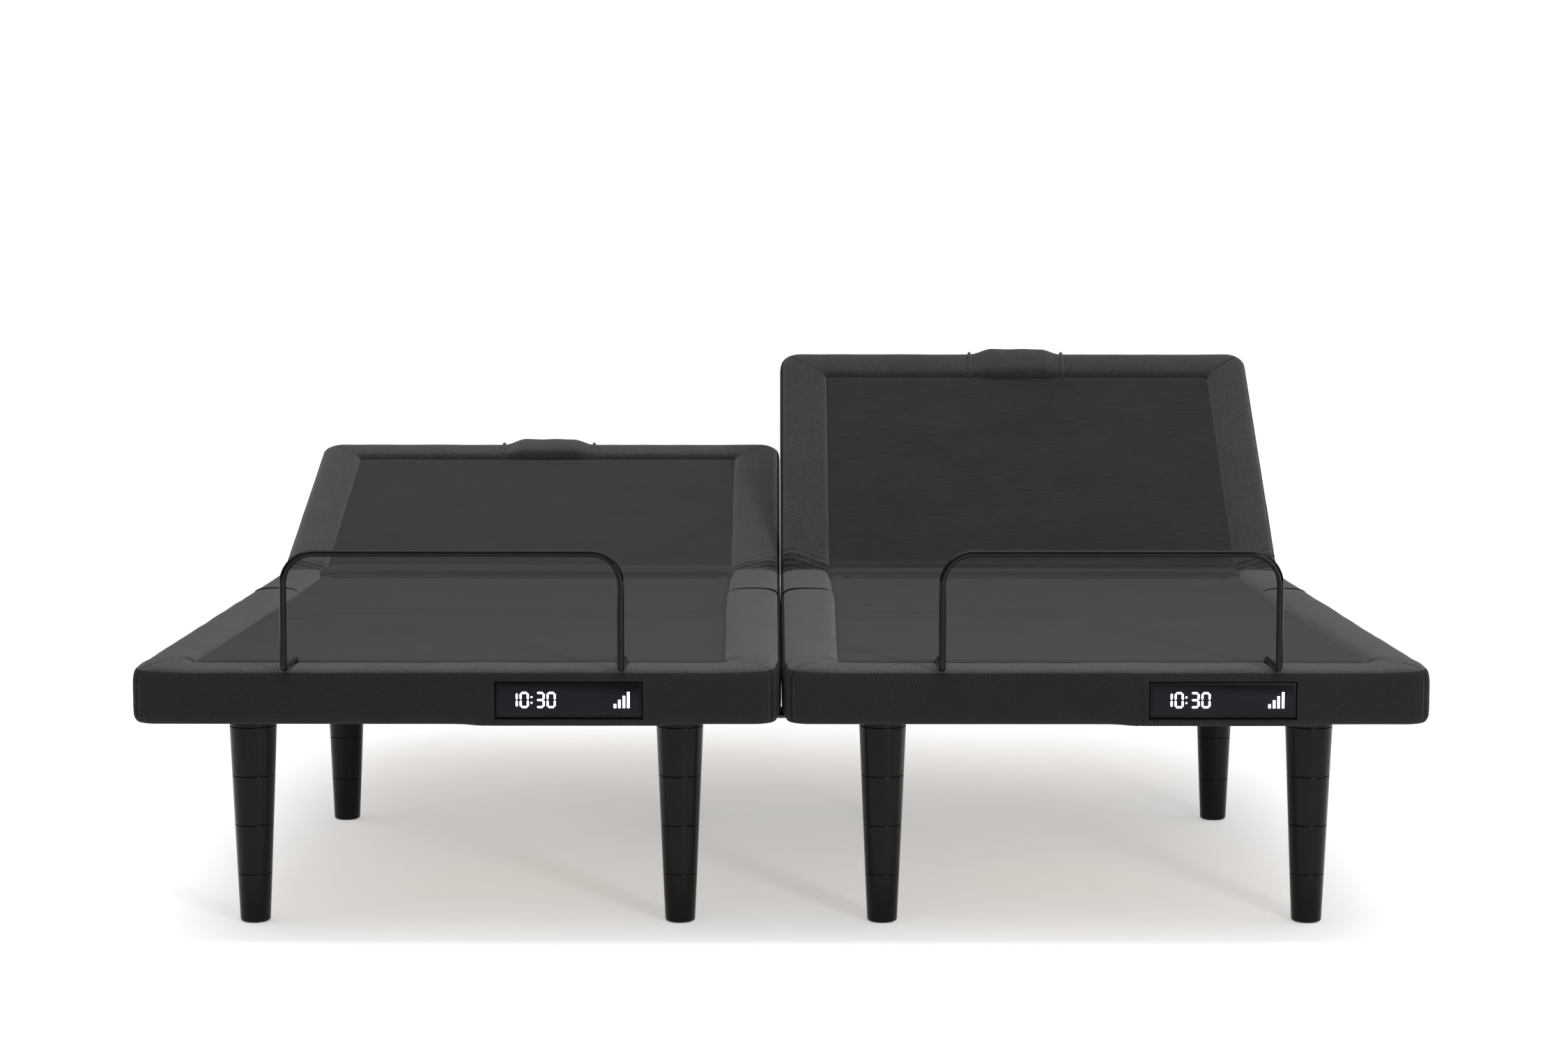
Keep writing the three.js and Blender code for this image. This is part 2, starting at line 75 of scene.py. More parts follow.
def ease(value: float) -> float:
    """Smooth step from 0 to 1 as value goes from 0 to 1."""
    t = min(max(value, 0.0), 1.0)
    return t * t * (3 - 2 * t)


def hill(distance: float, width: float) -> float:
    """A smooth bump of height 1 at distance 0 that has faded by a width or two."""
    return math.exp(-((distance / width) ** 2))


def spread(start: float, end: float, step: float) -> list[float]:
    """Evenly spaced values from start to end.

    Args:
        start: The first value.
        end: The last value.
        step: The longest spacing allowed.

    Returns:
        The values, both ends included.
    """
    count = max(1, math.ceil(abs(end - start) / step))
    return [start + (end - start) * i / count for i in range(count + 1)]


def ripple(x: float, y: float, z: float, size: float) -> float:
    """Smooth repeatable noise, about -1 to 1, with lumps of the given size."""
    return noise.noise(Vector((x / size, y / size, z / size)))


def rounded_path(points: Sequence[Vector], radii: Sequence[float], steps: int = 10) -> list[Vector]:
    """A line through points with a round bend at each inner one.

    Args:
        points: The corners of the line.
        radii: The bend radius at each corner, 0 at both ends.
        steps: Pieces in each bend.

    Returns:
        The points of the bent line.
    """
    path = [points[0]]
    for before, corner, after, radius in zip(points, points[1:], points[2:], radii[1:], strict=False):
        back = (before - corner).normalized()
        ahead = (after - corner).normalized()
        half = back.angle(ahead) / 2
        reach = radius / math.tan(half)
        centre = corner + (back + ahead).normalized() * radius / math.sin(half)
        start = corner + back * reach - centre
        end = corner + ahead * reach - centre
        turn = start.angle(end)
        axis = start.cross(end).normalized()
        for i in range(steps + 1):
            path.append(centre + Matrix.Rotation(turn * i / steps, 3, axis) @ start)
    path.append(points[-1])
    return path


def smooth_loop(anchors: Sequence[tuple[float, float]], parts: int) -> list[tuple[float, float]]:
    """A closed curve through anchors.

    Args:
        anchors: Points on the curve.
        parts: Pieces between two anchors.

    Returns:
        The curve's points, parts for each anchor.
    """
    count = len(anchors)
    loop = []
    for i in range(count):
        p0, p1, p2, p3 = (anchors[(i + k - 1) % count] for k in range(4))
        for j in range(parts):
            t = j / parts
            loop.append(tuple(
                0.5 * (2 * b + (c - a) * t + (2 * a - 5 * b + 4 * c - d) * t * t
                       + (3 * b - a - 3 * c + d) * t * t * t)
                for a, b, c, d in zip(p0, p1, p2, p3, strict=True)
            ))
    return loop


# ---- meshes -------------------------------------------------------------------------------------


class Shape:
    """A mesh in the making: closed bodies, each with the finish of its faces."""

    def __init__(self) -> None:
        """Starts with no bodies."""
        self.points: list[Vector] = []
        self.faces: list[tuple[int, ...]] = []
        self.bands: list[int] = []

    def loft(
        self,
        rings: Sequence[Sequence[Vector]],
        bands: Sequence[int] | None = None,
        band: int = 0,
    ) -> None:
        """Joins closed rings of points into a capped body.

        Args:
            rings: The rings, all with the same number of points.
            bands: The finish number of each strip between two ring points, or None.
            band: The finish number where bands is None, and of the caps.
        """
        first = len(self.points)
        size = len(rings[0])
        for ring in rings:
            self.points.extend(ring)
        for i in range(len(rings) - 1):
            for j in range(size):
                a = first + i * size + j
                b = first + i * size + (j + 1) % size
                self.faces.append((a, b, b + size, a + size))
                self.bands.append(bands[j] if bands else band)
        last = first + (len(rings) - 1) * size
        self.faces.append(tuple(range(first, first + size)))
        self.faces.append(tuple(range(last + size - 1, last - 1, -1)))
        self.bands.extend((band, band))

    def tube(self, path: Sequence[Vector], radius: float, sides: int = 12, band: int = 0) -> None:
        """A round rod along a path, with slightly rounded ends.

        Args:
            path: The points along the middle of the rod.
            radius: The radius of the rod.
            sides: Faces around.
            band: The finish number.
        """
        tangents = []
        for i in range(len(path)):
            ahead = path[min(i + 1, len(path) - 1)]
            tangents.append((ahead - path[max(i - 1, 0)]).normalized())
        side = tangents[0].orthogonal().normalized()
        rings = []
        for point, tangent in zip(path, tangents, strict=True):
            side = (side - tangent * side.dot(tangent)).normalized()
            up = tangent.cross(side)
            rings.append([
                point + radius * (side * math.cos(a) + up * math.sin(a))
                for a in (2 * math.pi * k / sides for k in range(sides))
            ])
        for end, point, way in ((0, path[0], -tangents[0]), (-1, path[-1], tangents[-1])):
            cap = [point + way * radius * 0.3 + (p - point) * 0.75 for p in rings[end]]
            rings.insert(0 if end == 0 else len(rings), cap)
        self.loft(rings, band=band)

    def turned(
        self,
        profile: Sequence[tuple[float, float]],
        centre: Vector,
        axis: Vector,
        sides: int = 32,
        band: int = 0,
    ) -> None:
        """A body turned about an axis.

        Args:
            profile: Pairs of radius and distance along the axis, with no radius of 0.
            centre: The point at distance 0.
            axis: The direction of the axis.
            sides: Faces around.
            band: The finish number.
        """
        way = axis.normalized()
        side = way.orthogonal().normalized()
        up = way.cross(side)
        rings = []
        for radius, along in profile:
            rings.append([
                centre + way * along + radius * (side * math.cos(a) + up * math.sin(a))
                for a in (2 * math.pi * k / sides for k in range(sides))
            ])
        self.loft(rings, band=band)

    def box(
        self,
        middle: Vector,
        axes: Sequence[Vector],
        half: Sequence[float],
        soft: float,
        band: int = 0,
    ) -> None:
        """A box with rounded edges.

        Args:
            middle: Its centre.
            axes: Its three unit directions.
            half: Half its size along each direction.
            soft: The rounding of its edges.
            band: The finish number.
        """
        rings = []
        for height, inset in self._rounding(half[2], soft):
            ring = []
            for corner in range(4):
                sx = 1 if corner in (0, 3) else -1
                sy = 1 if corner < 2 else -1
                for step in range(4):
                    angle = math.pi / 2 * (corner + step / 3)
                    x = sx * (half[0] - soft) + (soft - inset) * math.cos(angle)
                    y = sy * (half[1] - soft) + (soft - inset) * math.sin(angle)
                    ring.append(middle + axes[0] * x + axes[1] * y + axes[2] * height)
            rings.append(ring)
        self.loft(rings, band=band)

    @staticmethod
    def _rounding(half: float, soft: float) -> list[tuple[float, float]]:
        """Heights and insets of a box's rings, from its lower face to its upper one.

        Args:
            half: Half the box's height.
            soft: The rounding of its edges.

        Returns:
            Pairs of height and inset, from the bottom up.
        """
        steps = [(soft * (1 - math.cos(a)), soft * (1 - math.sin(a)))
                 for a in (math.pi / 2 * k / 4 for k in range(1, 5))]
        low = [(-half, soft * 0.98)] + [(-half + h, i) for h, i in steps]
        return low + [(-h, i) for h, i in reversed(low)]

    def make(self, name: str, finishes: Sequence[bpy.types.Material], sharp: float = 50) -> bpy.types.Object:
        """Turns the bodies into one object.

        Args:
            name: The object's name.
            finishes: The material for each finish number.
            sharp: Edges steeper than this many degrees stay crisp.

        Returns:
            The object, in place.
        """
        mesh = bpy.data.meshes.new(name)
        mesh.from_pydata([tuple(p) for p in self.points], [], self.faces)
        for finish in finishes:
            mesh.materials.append(finish)
        mesh.polygons.foreach_set("material_index", self.bands)
        work = bmesh.new()
        work.from_mesh(mesh)
        bmesh.ops.recalc_face_normals(work, faces=work.faces)
        big = [f for f in work.faces if len(f.verts) > 4]
        bmesh.ops.triangulate(work, faces=big)
        work.to_mesh(mesh)
        work.free()
        mesh.polygons.foreach_set("use_smooth", [True] * len(mesh.polygons))
        mesh.set_sharp_from_angle(angle=math.radians(sharp))
        thing = bpy.data.objects.new(name, mesh)
        bpy.context.scene.collection.objects.link(thing)
        return thing


# ---- finishes -----------------------------------------------------------------------------------


class Nodes:
    """A material's node tree, with short calls for what the finishes need."""

    def __init__(self, name: str) -> None:
        """Starts a material with a shader and its output.

        Args:
            name: The material's name.
        """
        self.material = bpy.data.materials.new(name)
        self.material.use_nodes = True
        self.tree = self.material.node_tree
        self.tree.nodes.clear()
        self.shader = self.add("ShaderNodeBsdfPrincipled")
        output = self.add("ShaderNodeOutputMaterial")
        self.tree.links.new(self.shader.outputs["BSDF"], output.inputs["Surface"])

    def add(self, kind: str) -> bpy.types.Node:
        """Adds a node of the given kind."""
        return self.tree.nodes.new(kind)

    def feed(self, socket: bpy.types.NodeSocket, value: object) -> None:
        """Links or sets an input, whichever the value is.

        Args:
            socket: The input.
            value: Another node's output, or a plain value.
        """
        if isinstance(value, bpy.types.NodeSocket):
            self.tree.links.new(value, socket)
        else:
            socket.default_value = value

    def surface(self, **values: object) -> None:
        """Feeds the shader's inputs by name, with _ for a space."""
        for name, value in values.items():
            self.feed(self.shader.inputs[name.replace("_", " ")], value)

    def place(
        self,
        tilt: float = 0.0,
        stretch: tuple[float, float, float] = (1, 1, 1),
    ) -> bpy.types.NodeSocket:
        """Positions on the piece, turned back by a deck's tilt about X and stretched.

        Args:
            tilt: The deck's slope in radians.
            stretch: A factor along each axis.

        Returns:
            The positions.
        """
        mapping = self.add("ShaderNodeMapping")
        self.feed(mapping.inputs["Vector"], self.add("ShaderNodeTexCoord").outputs["Object"])
        mapping.inputs["Rotation"].default_value = (-tilt, 0, 0)
        mapping.inputs["Scale"].default_value = stretch
        return mapping.outputs["Vector"]

    def wrapped(self, where: bpy.types.NodeSocket, middle: float) -> bpy.types.NodeSocket:
        """Positions whose y runs the other way left of a middle, so that a weave turns both corners alike.

        Args:
            where: Positions.
            middle: The x at which the direction changes.

        Returns:
            The new positions.
        """
        split = self.add("ShaderNodeSeparateXYZ")
        join = self.add("ShaderNodeCombineXYZ")
        self.feed(split.inputs[0], where)
        side = self.calc("SIGN", self.calc("SUBTRACT", split.outputs["X"], middle))
        self.feed(join.inputs["X"], split.outputs["X"])
        self.feed(join.inputs["Y"], self.calc("MULTIPLY", split.outputs["Y"], side))
        self.feed(join.inputs["Z"], split.outputs["Z"])
        return join.outputs[0]

    def cloud(self, where: bpy.types.NodeSocket, scale: float, detail: float = 2.0) -> bpy.types.NodeSocket:
        """Noise from 0 to 1 with about scale lumps in a metre.

        Args:
            where: Positions.
            scale: Lumps in a metre.
            detail: Octaves of finer noise.

        Returns:
            The noise.
        """
        texture = self.add("ShaderNodeTexNoise")
        self.feed(texture.inputs["Vector"], where)
        texture.inputs["Scale"].default_value = scale
        texture.inputs["Detail"].default_value = detail
        return texture.outputs["Fac"]

    def calc(self, operation: str, first: object, second: object = 0.0) -> bpy.types.NodeSocket:
        """One step of arithmetic.

        Args:
            operation: The node's operation.
            first: The first number.
            second: The second number.

        Returns:
            The result.
        """
        node = self.add("ShaderNodeMath")
        node.operation = operation
        self.feed(node.inputs[0], first)
        self.feed(node.inputs[1], second)
        return node.outputs[0]

    def threads(
        self,
        where: bpy.types.NodeSocket,
        per_metre: tuple[float, float, float],
    ) -> bpy.types.NodeSocket:
        """Parallel threads, 0 between them and 1 along their tops.

        Args:
            where: Positions.
            per_metre: How many threads are crossed in a metre along each axis.

        Returns:
            The height of the threads.
        """
        dot = self.add("ShaderNodeVectorMath")
        dot.operation = "DOT_PRODUCT"
        self.feed(dot.inputs[0], where)
        dot.inputs[1].default_value = [2 * math.pi * n for n in per_metre]
        wave = self.calc("SINE", dot.outputs["Value"])
        return self.calc("MULTIPLY", self.calc("ADD", wave, 1.0), 0.5)

    def spans(self, value: bpy.types.NodeSocket, low: float, high: float) -> bpy.types.NodeSocket:
        """Stretches 0..1 over low..high.

        Args:
            value: A number from 0 to 1.
            low: What 0 becomes.
            high: What 1 becomes.

        Returns:
            The stretched number.
        """
        node = self.add("ShaderNodeMapRange")
        self.feed(node.inputs["Value"], value)
        node.inputs["To Min"].default_value = low
        node.inputs["To Max"].default_value = high
        return node.outputs["Result"]

    def tones(
        self,
        value: bpy.types.NodeSocket,
        *stops: tuple[float, tuple[float, float, float]],
    ) -> bpy.types.NodeSocket:
        """A run of colours over 0..1, each given with its place.

        Args:
            value: A number from 0 to 1.
            stops: Pairs of a place on the run and its colour.

        Returns:
            The colour.
        """
        ramp = self.add("ShaderNodeValToRGB")
        self.feed(ramp.inputs["Fac"], value)
        elements = ramp.color_ramp.elements
        while len(elements) < len(stops):
            elements.new(0.5)
        for element, (where, colour) in zip(elements, stops, strict=True):
            element.position = where
            element.color = (*colour, 1)
        return ramp.outputs["Color"]

    def relief(self, height: bpy.types.NodeSocket, depth: float, strength: float = 1.0) -> None:
        """Raises the surface by up to depth metres where height is 1.

        Args:
            height: A number from 0 to 1.
            depth: The height of 1, in metres.
            strength: How strongly it shows.
        """
        bump = self.add("ShaderNodeBump")
        self.feed(bump.inputs["Height"], height)
        bump.inputs["Distance"].default_value = depth
        bump.inputs["Strength"].default_value = strength
        self.feed(self.shader.inputs["Normal"], bump.outputs["Normal"])


def shade(colour: tuple[float, float, float], factor: float) -> tuple[float, float, float]:
    """A colour made lighter or darker."""
    return tuple(min(c * factor, 1.0) for c in colour)


@dataclass(frozen=True)
class Upholstery:
    """A woven or knitted cover fabric."""

    name: str
    colour: tuple[float, float, float]
    threads: tuple[tuple[float, float, float], ...]
    fleck: float
    fleck_size: tuple[float, float, float] = (260, 260, 260)
    sheen: float = 0.5
    depth: float = 0.0005
    contrast: float = 0.5
    crossing: float = 1.0

    def dye(self, tilt: float = 0.0, middle: float | None = None) -> bpy.types.Material:
        """Builds the material.

        Args:
            tilt: The slope of the deck it lies on, so that its weave runs with the deck.
            middle: The middle of the half that it is wrapped round, or None where it isn't.

        Returns:
            The material.
        """
        nodes = Nodes(f"{self.name}_{round(math.degrees(tilt))}")
        where = nodes.place(tilt)
        woven = where if middle is None else nodes.wrapped(where, middle)
        weave = None
        for direction in self.threads:
            one = nodes.threads(woven, direction)
            over = nodes.spans(one, 1 - self.crossing, 1.0)
            weave = one if weave is None else nodes.calc("MULTIPLY", weave, over)
        fuzz = nodes.cloud(where, 1400, 1.0)
        flecks = nodes.cloud(nodes.place(tilt, self.fleck_size), 1.0, 3.0)
        broad = nodes.cloud(nodes.place(tilt, (7, 11, 9)), 1.0, 4.0)
        mottled = nodes.calc("ADD", nodes.calc("MULTIPLY", flecks, self.fleck),
                             nodes.calc("MULTIPLY", weave, self.contrast))
        mottled = nodes.calc("ADD", mottled, nodes.calc("MULTIPLY", broad, 0.35))
        usual = (self.fleck + self.contrast + 0.35) / 2
        level = nodes.calc("ADD", nodes.calc("SUBTRACT", mottled, usual), 0.5)
        colour = nodes.tones(level, (0.1, shade(self.colour, 0.5)), (0.5, self.colour),
                             (0.9, shade(self.colour, 1.75)))
        height = nodes.calc("ADD", nodes.calc("MULTIPLY", weave, 0.7), nodes.calc("MULTIPLY", fuzz, 0.5))
        nodes.surface(
            Base_Color=colour,
            Roughness=nodes.spans(fuzz, 0.82, 1.0),
            Specular_IOR_Level=0.15,
            Sheen_Weight=self.sheen,
            Sheen_Roughness=0.45,
            Sheen_Tint=(*shade(self.colour, 12), 1),
        )
        nodes.relief(height, self.depth)
        return nodes.material


@dataclass(frozen=True)
class Hard:
    """A moulded, painted or plated finish."""

    name: str
    colour: tuple[float, float, float]
    roughness: tuple[float, float]
    metal: float = 0.0
    grain: float = 1500.0
    depth: float = 0.00004
    coat: float = 0.0
    stretch: tuple[float, float, float] = (1, 1, 1)
    level: float = 0.5

    def mix(self) -> bpy.types.Material:
        """Builds the material, with fine grain, smears in its gloss and slightly worn tones.

        Returns:
            The material.
        """
        nodes = Nodes(self.name)
        where = nodes.place(0.0, self.stretch)
        fine = nodes.cloud(where, self.grain, 2.0)
        smear = nodes.cloud(nodes.place(), 14.0, 5.0)
        blend = nodes.calc("ADD", nodes.calc("MULTIPLY", fine, 0.3), nodes.calc("MULTIPLY", smear, 0.7))
        nodes.surface(
            Base_Color=nodes.tones(smear, (0.3, shade(self.colour, 0.85)), (0.7, shade(self.colour, 1.15))),
            Roughness=nodes.spans(blend, self.roughness[0], self.roughness[1]),
            Metallic=self.metal,
            Coat_Weight=self.coat,
            Coat_Roughness=0.06,
            Specular_IOR_Level=self.level,
        )
        nodes.relief(fine, self.depth)
        return nodes.material


@dataclass(frozen=True)
class Plywood:
    """Veneered board: long grain on its faces and stacked plies on its edges."""

    light: tuple[float, float, float] = (0.55, 0.38, 0.21)
    dark: tuple[float, float, float] = (0.30, 0.18, 0.085)
    plies: float = 420.0

    def cut(self, tilt: float) -> bpy.types.Material:
        """Builds the material for a board at a slope.

        Args:
            tilt: The board's slope in radians.

        Returns:
            The material.
        """
        nodes = Nodes(f"plywood_{round(math.degrees(tilt))}")
        grain = nodes.cloud(nodes.place(tilt, (9, 1.2, 9)), 7.0, 6.0)
        pores = nodes.cloud(nodes.place(tilt, (300, 16, 300)), 1.0, 2.0)
        layers = nodes.threads(nodes.place(tilt), (0, 0, self.plies))
        level = nodes.calc("ADD", nodes.calc("MULTIPLY", grain, 0.65), nodes.calc("MULTIPLY", layers, 0.22))
        level = nodes.calc("ADD", level, nodes.calc("MULTIPLY", pores, 0.2))
        nodes.surface(
            Base_Color=nodes.tones(level, (0.2, self.dark), (0.75, self.light)),
            Roughness=nodes.spans(pores, 0.55, 0.8),
        )
        nodes.relief(pores, 0.0001)
        return nodes.material


@dataclass(frozen=True)
class Glow:
    """A lit mark behind the display's window."""

    colour: tuple[float, float, float] = (0.72, 0.80, 1.0)
    strength: float = 3.2

    def light(self) -> bpy.types.Material:
        """Builds the lit material, a little uneven as small lamps behind a mask are.

        Returns:
            The material.
        """
        nodes = Nodes("display_glow")
        patch = nodes.cloud(nodes.place(), 120.0, 1.0)
        nodes.surface(
            Base_Color=(*self.colour, 1),
            Emission_Color=nodes.tones(patch, (0.3, shade(self.colour, 0.85)), (0.7, self.colour)),
            Emission_Strength=self.strength,
        )
        return nodes.material


class Finish(Enum):
    """The finishes that don't depend on a deck's slope."""

    LEG = Hard("leg_plastic", (0.0042, 0.0042, 0.0045), (0.20, 0.26), grain=2200, depth=0.00001, level=0.12)
    BAR = Hard("bar_lacquer", (0.003, 0.003, 0.0033), (0.09, 0.14), grain=500, depth=0.00001, level=0.16)
    STEEL = Hard("frame_powder_coat", (0.016, 0.016, 0.017), (0.42, 0.58), grain=1800, depth=0.00008)
    ZINC = Hard("zinc_plate", (0.42, 0.43, 0.45), (0.26, 0.48), metal=1.0, grain=900)
    CHROME = Hard("rod_chrome", (0.62, 0.63, 0.65), (0.08, 0.18), metal=1.0, grain=700, depth=0.00001)
    MOTOR = Hard("motor_case_paint", (0.035, 0.036, 0.038), (0.42, 0.6), grain=1500)
    PLASTIC = Hard("box_plastic", (0.018, 0.018, 0.019), (0.5, 0.68), grain=1100, depth=0.00009)
    RUBBER = Hard("rubber_grommet", (0.012, 0.012, 0.012), (0.6, 0.8), grain=900)
    GLASS = Hard("display_window", (0.006, 0.006, 0.009), (0.10, 0.16), grain=60, depth=0.000002, level=0.10)
    BEZEL = Hard("display_bezel", (0.0045, 0.0045, 0.005), (0.26, 0.38), grain=1500, level=0.10)
    THREAD = Hard("seam_thread", (0.030, 0.030, 0.032), (0.7, 0.9), grain=2600, depth=0.0001)
    BRASS = Hard("inlet_pins", (0.55, 0.45, 0.24), (0.2, 0.35), metal=1.0, grain=800)


BORDER_CLOTH = Upholstery(
    "border_heather", (0.0300, 0.0296, 0.0312), ((620, 0, 300), (0, 620, 300)),
    fleck=2.6, fleck_size=(500, 110, 500), sheen=0.86, depth=0.0005, contrast=0.5,
)
# Wall cloth: the diagonal twill weave is the cloth's own, but its colour, about half the border cloth's, is
# painted shade for walls that face away from the light above.
FACE_CLOTH_PAINTED_SHADE = Upholstery(
    "face_twill", (0.0150, 0.0150, 0.0156), ((196, 196, 260), (330, 330, -330)),
    fleck=0.5, fleck_size=(420, 420, 420), sheen=0.18, depth=0.0012, contrast=1.2, crossing=0.35,
)
DECK_CLOTH = Upholstery(
    "deck_knit", (0.0210, 0.0194, 0.0187), ((700, 0, 0), (0, 900, 300)),
    fleck=0.8, fleck_size=(30, 500, 60), sheen=0.62, depth=0.00025, contrast=0.3,
)


# ---- the frame that the looks are built round -----------------------------------------------------


@dataclass(frozen=True)
class Half:
    """One half of the pair, read from the frame: its joints, its place and its raised head."""

    name: str
    outward: int
    middle: float
    face: float
    knee: float
    thigh: float
    head: float
    axis: float
    rise: float

    @classmethod
    def read(cls, name: str, outward: int) -> "Half":
        """Reads a half's joints.

        Args:
            name: The prefix of its nodes and bodies.
            outward: The sign of X on its outer side.

        Returns:
            The half.
        """
        joints = {j["name"]: j for j in frame["joints"]}
        low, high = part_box(f"{name}_foot_cover")
        head = joints[f"{name}_head_lift"]["pos_m"]
        face = low.y
        return cls(
            name=name,
            outward=outward,
            middle=(low.x + high.x) / 2,
            face=face,
            knee=joints[f"{name}_knee"]["pos_m"][1] - face,
            thigh=joints[f"{name}_thigh_lift"]["pos_m"][1] - face,
            head=head[1] - face,
            axis=head[2],
            rise=-math.radians(joints[f"{name}_head_lift"]["range_deg"][0]),
        )

    def flat(self, x: float, y: float, z: float) -> Vector:
        """A point of the flat plan, in the row frame."""
        return Vector((self.middle + x, self.face + y, z))

    def raised(self, x: float, y: float, z: float, share: float = 1.0) -> Vector:
        """A point of the head deck's plan, turned up by a share of the head's rise.

        Args:
            x: Sideways from the half's middle.
            y: From the foot face.
            z: Above the floor.
            share: The share of the head's rise, from 0 to 1.

        Returns:
            The point, in the row frame.
        """
        angle = self.rise * share
        dy = y - self.head
        dz = z - self.axis
        return self.flat(
            x,
            self.head + dy * math.cos(angle) - dz * math.sin(angle),
            self.axis + dy * math.sin(angle) + dz * math.cos(angle),
        )

    def body(self, name: str) -> str:
        """A body of this half by its short name."""
        return f"{self.name}_{name}"

    def joint(self, name: str) -> dict:
        """A joint of this half by its short name."""
        return next(j for j in frame["joints"] if j["name"] == f"{self.name}_{name}")


@dataclass(frozen=True)
class Plan:
    """Sizes that the upholstery of both halves shares."""

    side: float = 0.472
    gap_side: float = 0.4823
    face_side: float = 0.4785
    face_depth: float = 0.060
    border: float = 0.090
    head_border: float = 0.074
    foot_inner: float = 0.396
    thigh_inner: float = 0.383
    seat_inner: float = 0.386
    corner: float = 0.034
    thigh_split: float = 0.889
    thigh_end: float = 1.060
    seat_split: float = 1.330
    head_split: float = 1.469
    head_end: float = 2.041
    pad_half: float = 0.095
    deck_top: float = 0.416
    deck_bottom: float = 0.4105

    def outer(self, y: float, outward: bool) -> float:
        """How far a half reaches on one side, which bulges where the halves meet.

        Args:
            y: The distance from the foot face.
            outward: Whether this is the outer side of the pair.

        Returns:
            The distance from the half's middle.
        """
        side = self.side if outward else self.gap_side
        return side + (self.face_side - side) * ease((self.face_depth + 0.03 - y) / 0.05)

    def inner(self, y: float) -> float:
        """Half the width between the borders at a distance from the foot face.

        Args:
            y: The distance from the foot face.

        Returns:
            The distance from the half's middle.
        """
        if y > self.thigh_end:
            return self.seat_inner
        share = min(max((y - self.border) / (self.thigh_end - self.border), 0.0), 1.0)
        return self.foot_inner + (self.thigh_inner - self.foot_inner) * share


PLAN = Plan()


# ---- padded rails --------------------------------------------------------------------------------


class Wrap(Enum):
    """How a padded rail's section is shaped: (distance in from the outside, height) in millimetres."""

    SIDE = (
        (80, 332.6), (45, 331.6), (14, 331.5), (5, 334), (1.3, 341.4), (0.7, 342.8), (0.1, 352), (0, 362),
        (0, 372), (0, 383), (0.1, 395.2), (0.2, 396.6), (0.8, 403), (2.0, 409.6), (3.9, 413.9),
        (5.6, 415.4), (7.2, 417.4), (12, 420.4), (22, 422.8), (40, 424.0), (60, 423.8), (74, 422.4),
        (82, 419.4), (87, 413.6), (89.3, 407), (88, 402), (84.5, 398), (84, 365), (83.4, 338),
    )
    FOOT = (
        (80, 332.6), (45, 331.6), (14, 331.5), (5, 334), (1.3, 341.4), (0.7, 342.8), (0.2, 352), (0, 362),
        (-0.2, 372), (-0.2, 383), (0.2, 395.2), (0.4, 396.6), (1.2, 400), (2.7, 404.2), (5.0, 407.4),
        (7.2, 408.5), (8.6, 409.7), (14, 412.4), (25, 414.6), (40, 416.2), (56, 416.8), (70, 415.4),
        (80, 412.6), (86.5, 408.6), (89.3, 404), (88, 400.5), (84.5, 397), (84, 365), (83.4, 338),
    )


LINING, TWILL, HEATHER = range(3)
TWILL_FROM, HEATHER_FROM, HEATHER_TO = 1, 15, 25
LOOP_PARTS = 3


@dataclass(frozen=True)
class Station:
    """One cut across a padded rail, from its outer line to its inner line in plan."""

    outer: tuple[float, float]
    inner: tuple[float, float]
    low: float = 0.0
    seam: float = 0.0
    swell: float = 0.0
    tuck: float = 0.0
    pinch: float = 0.0


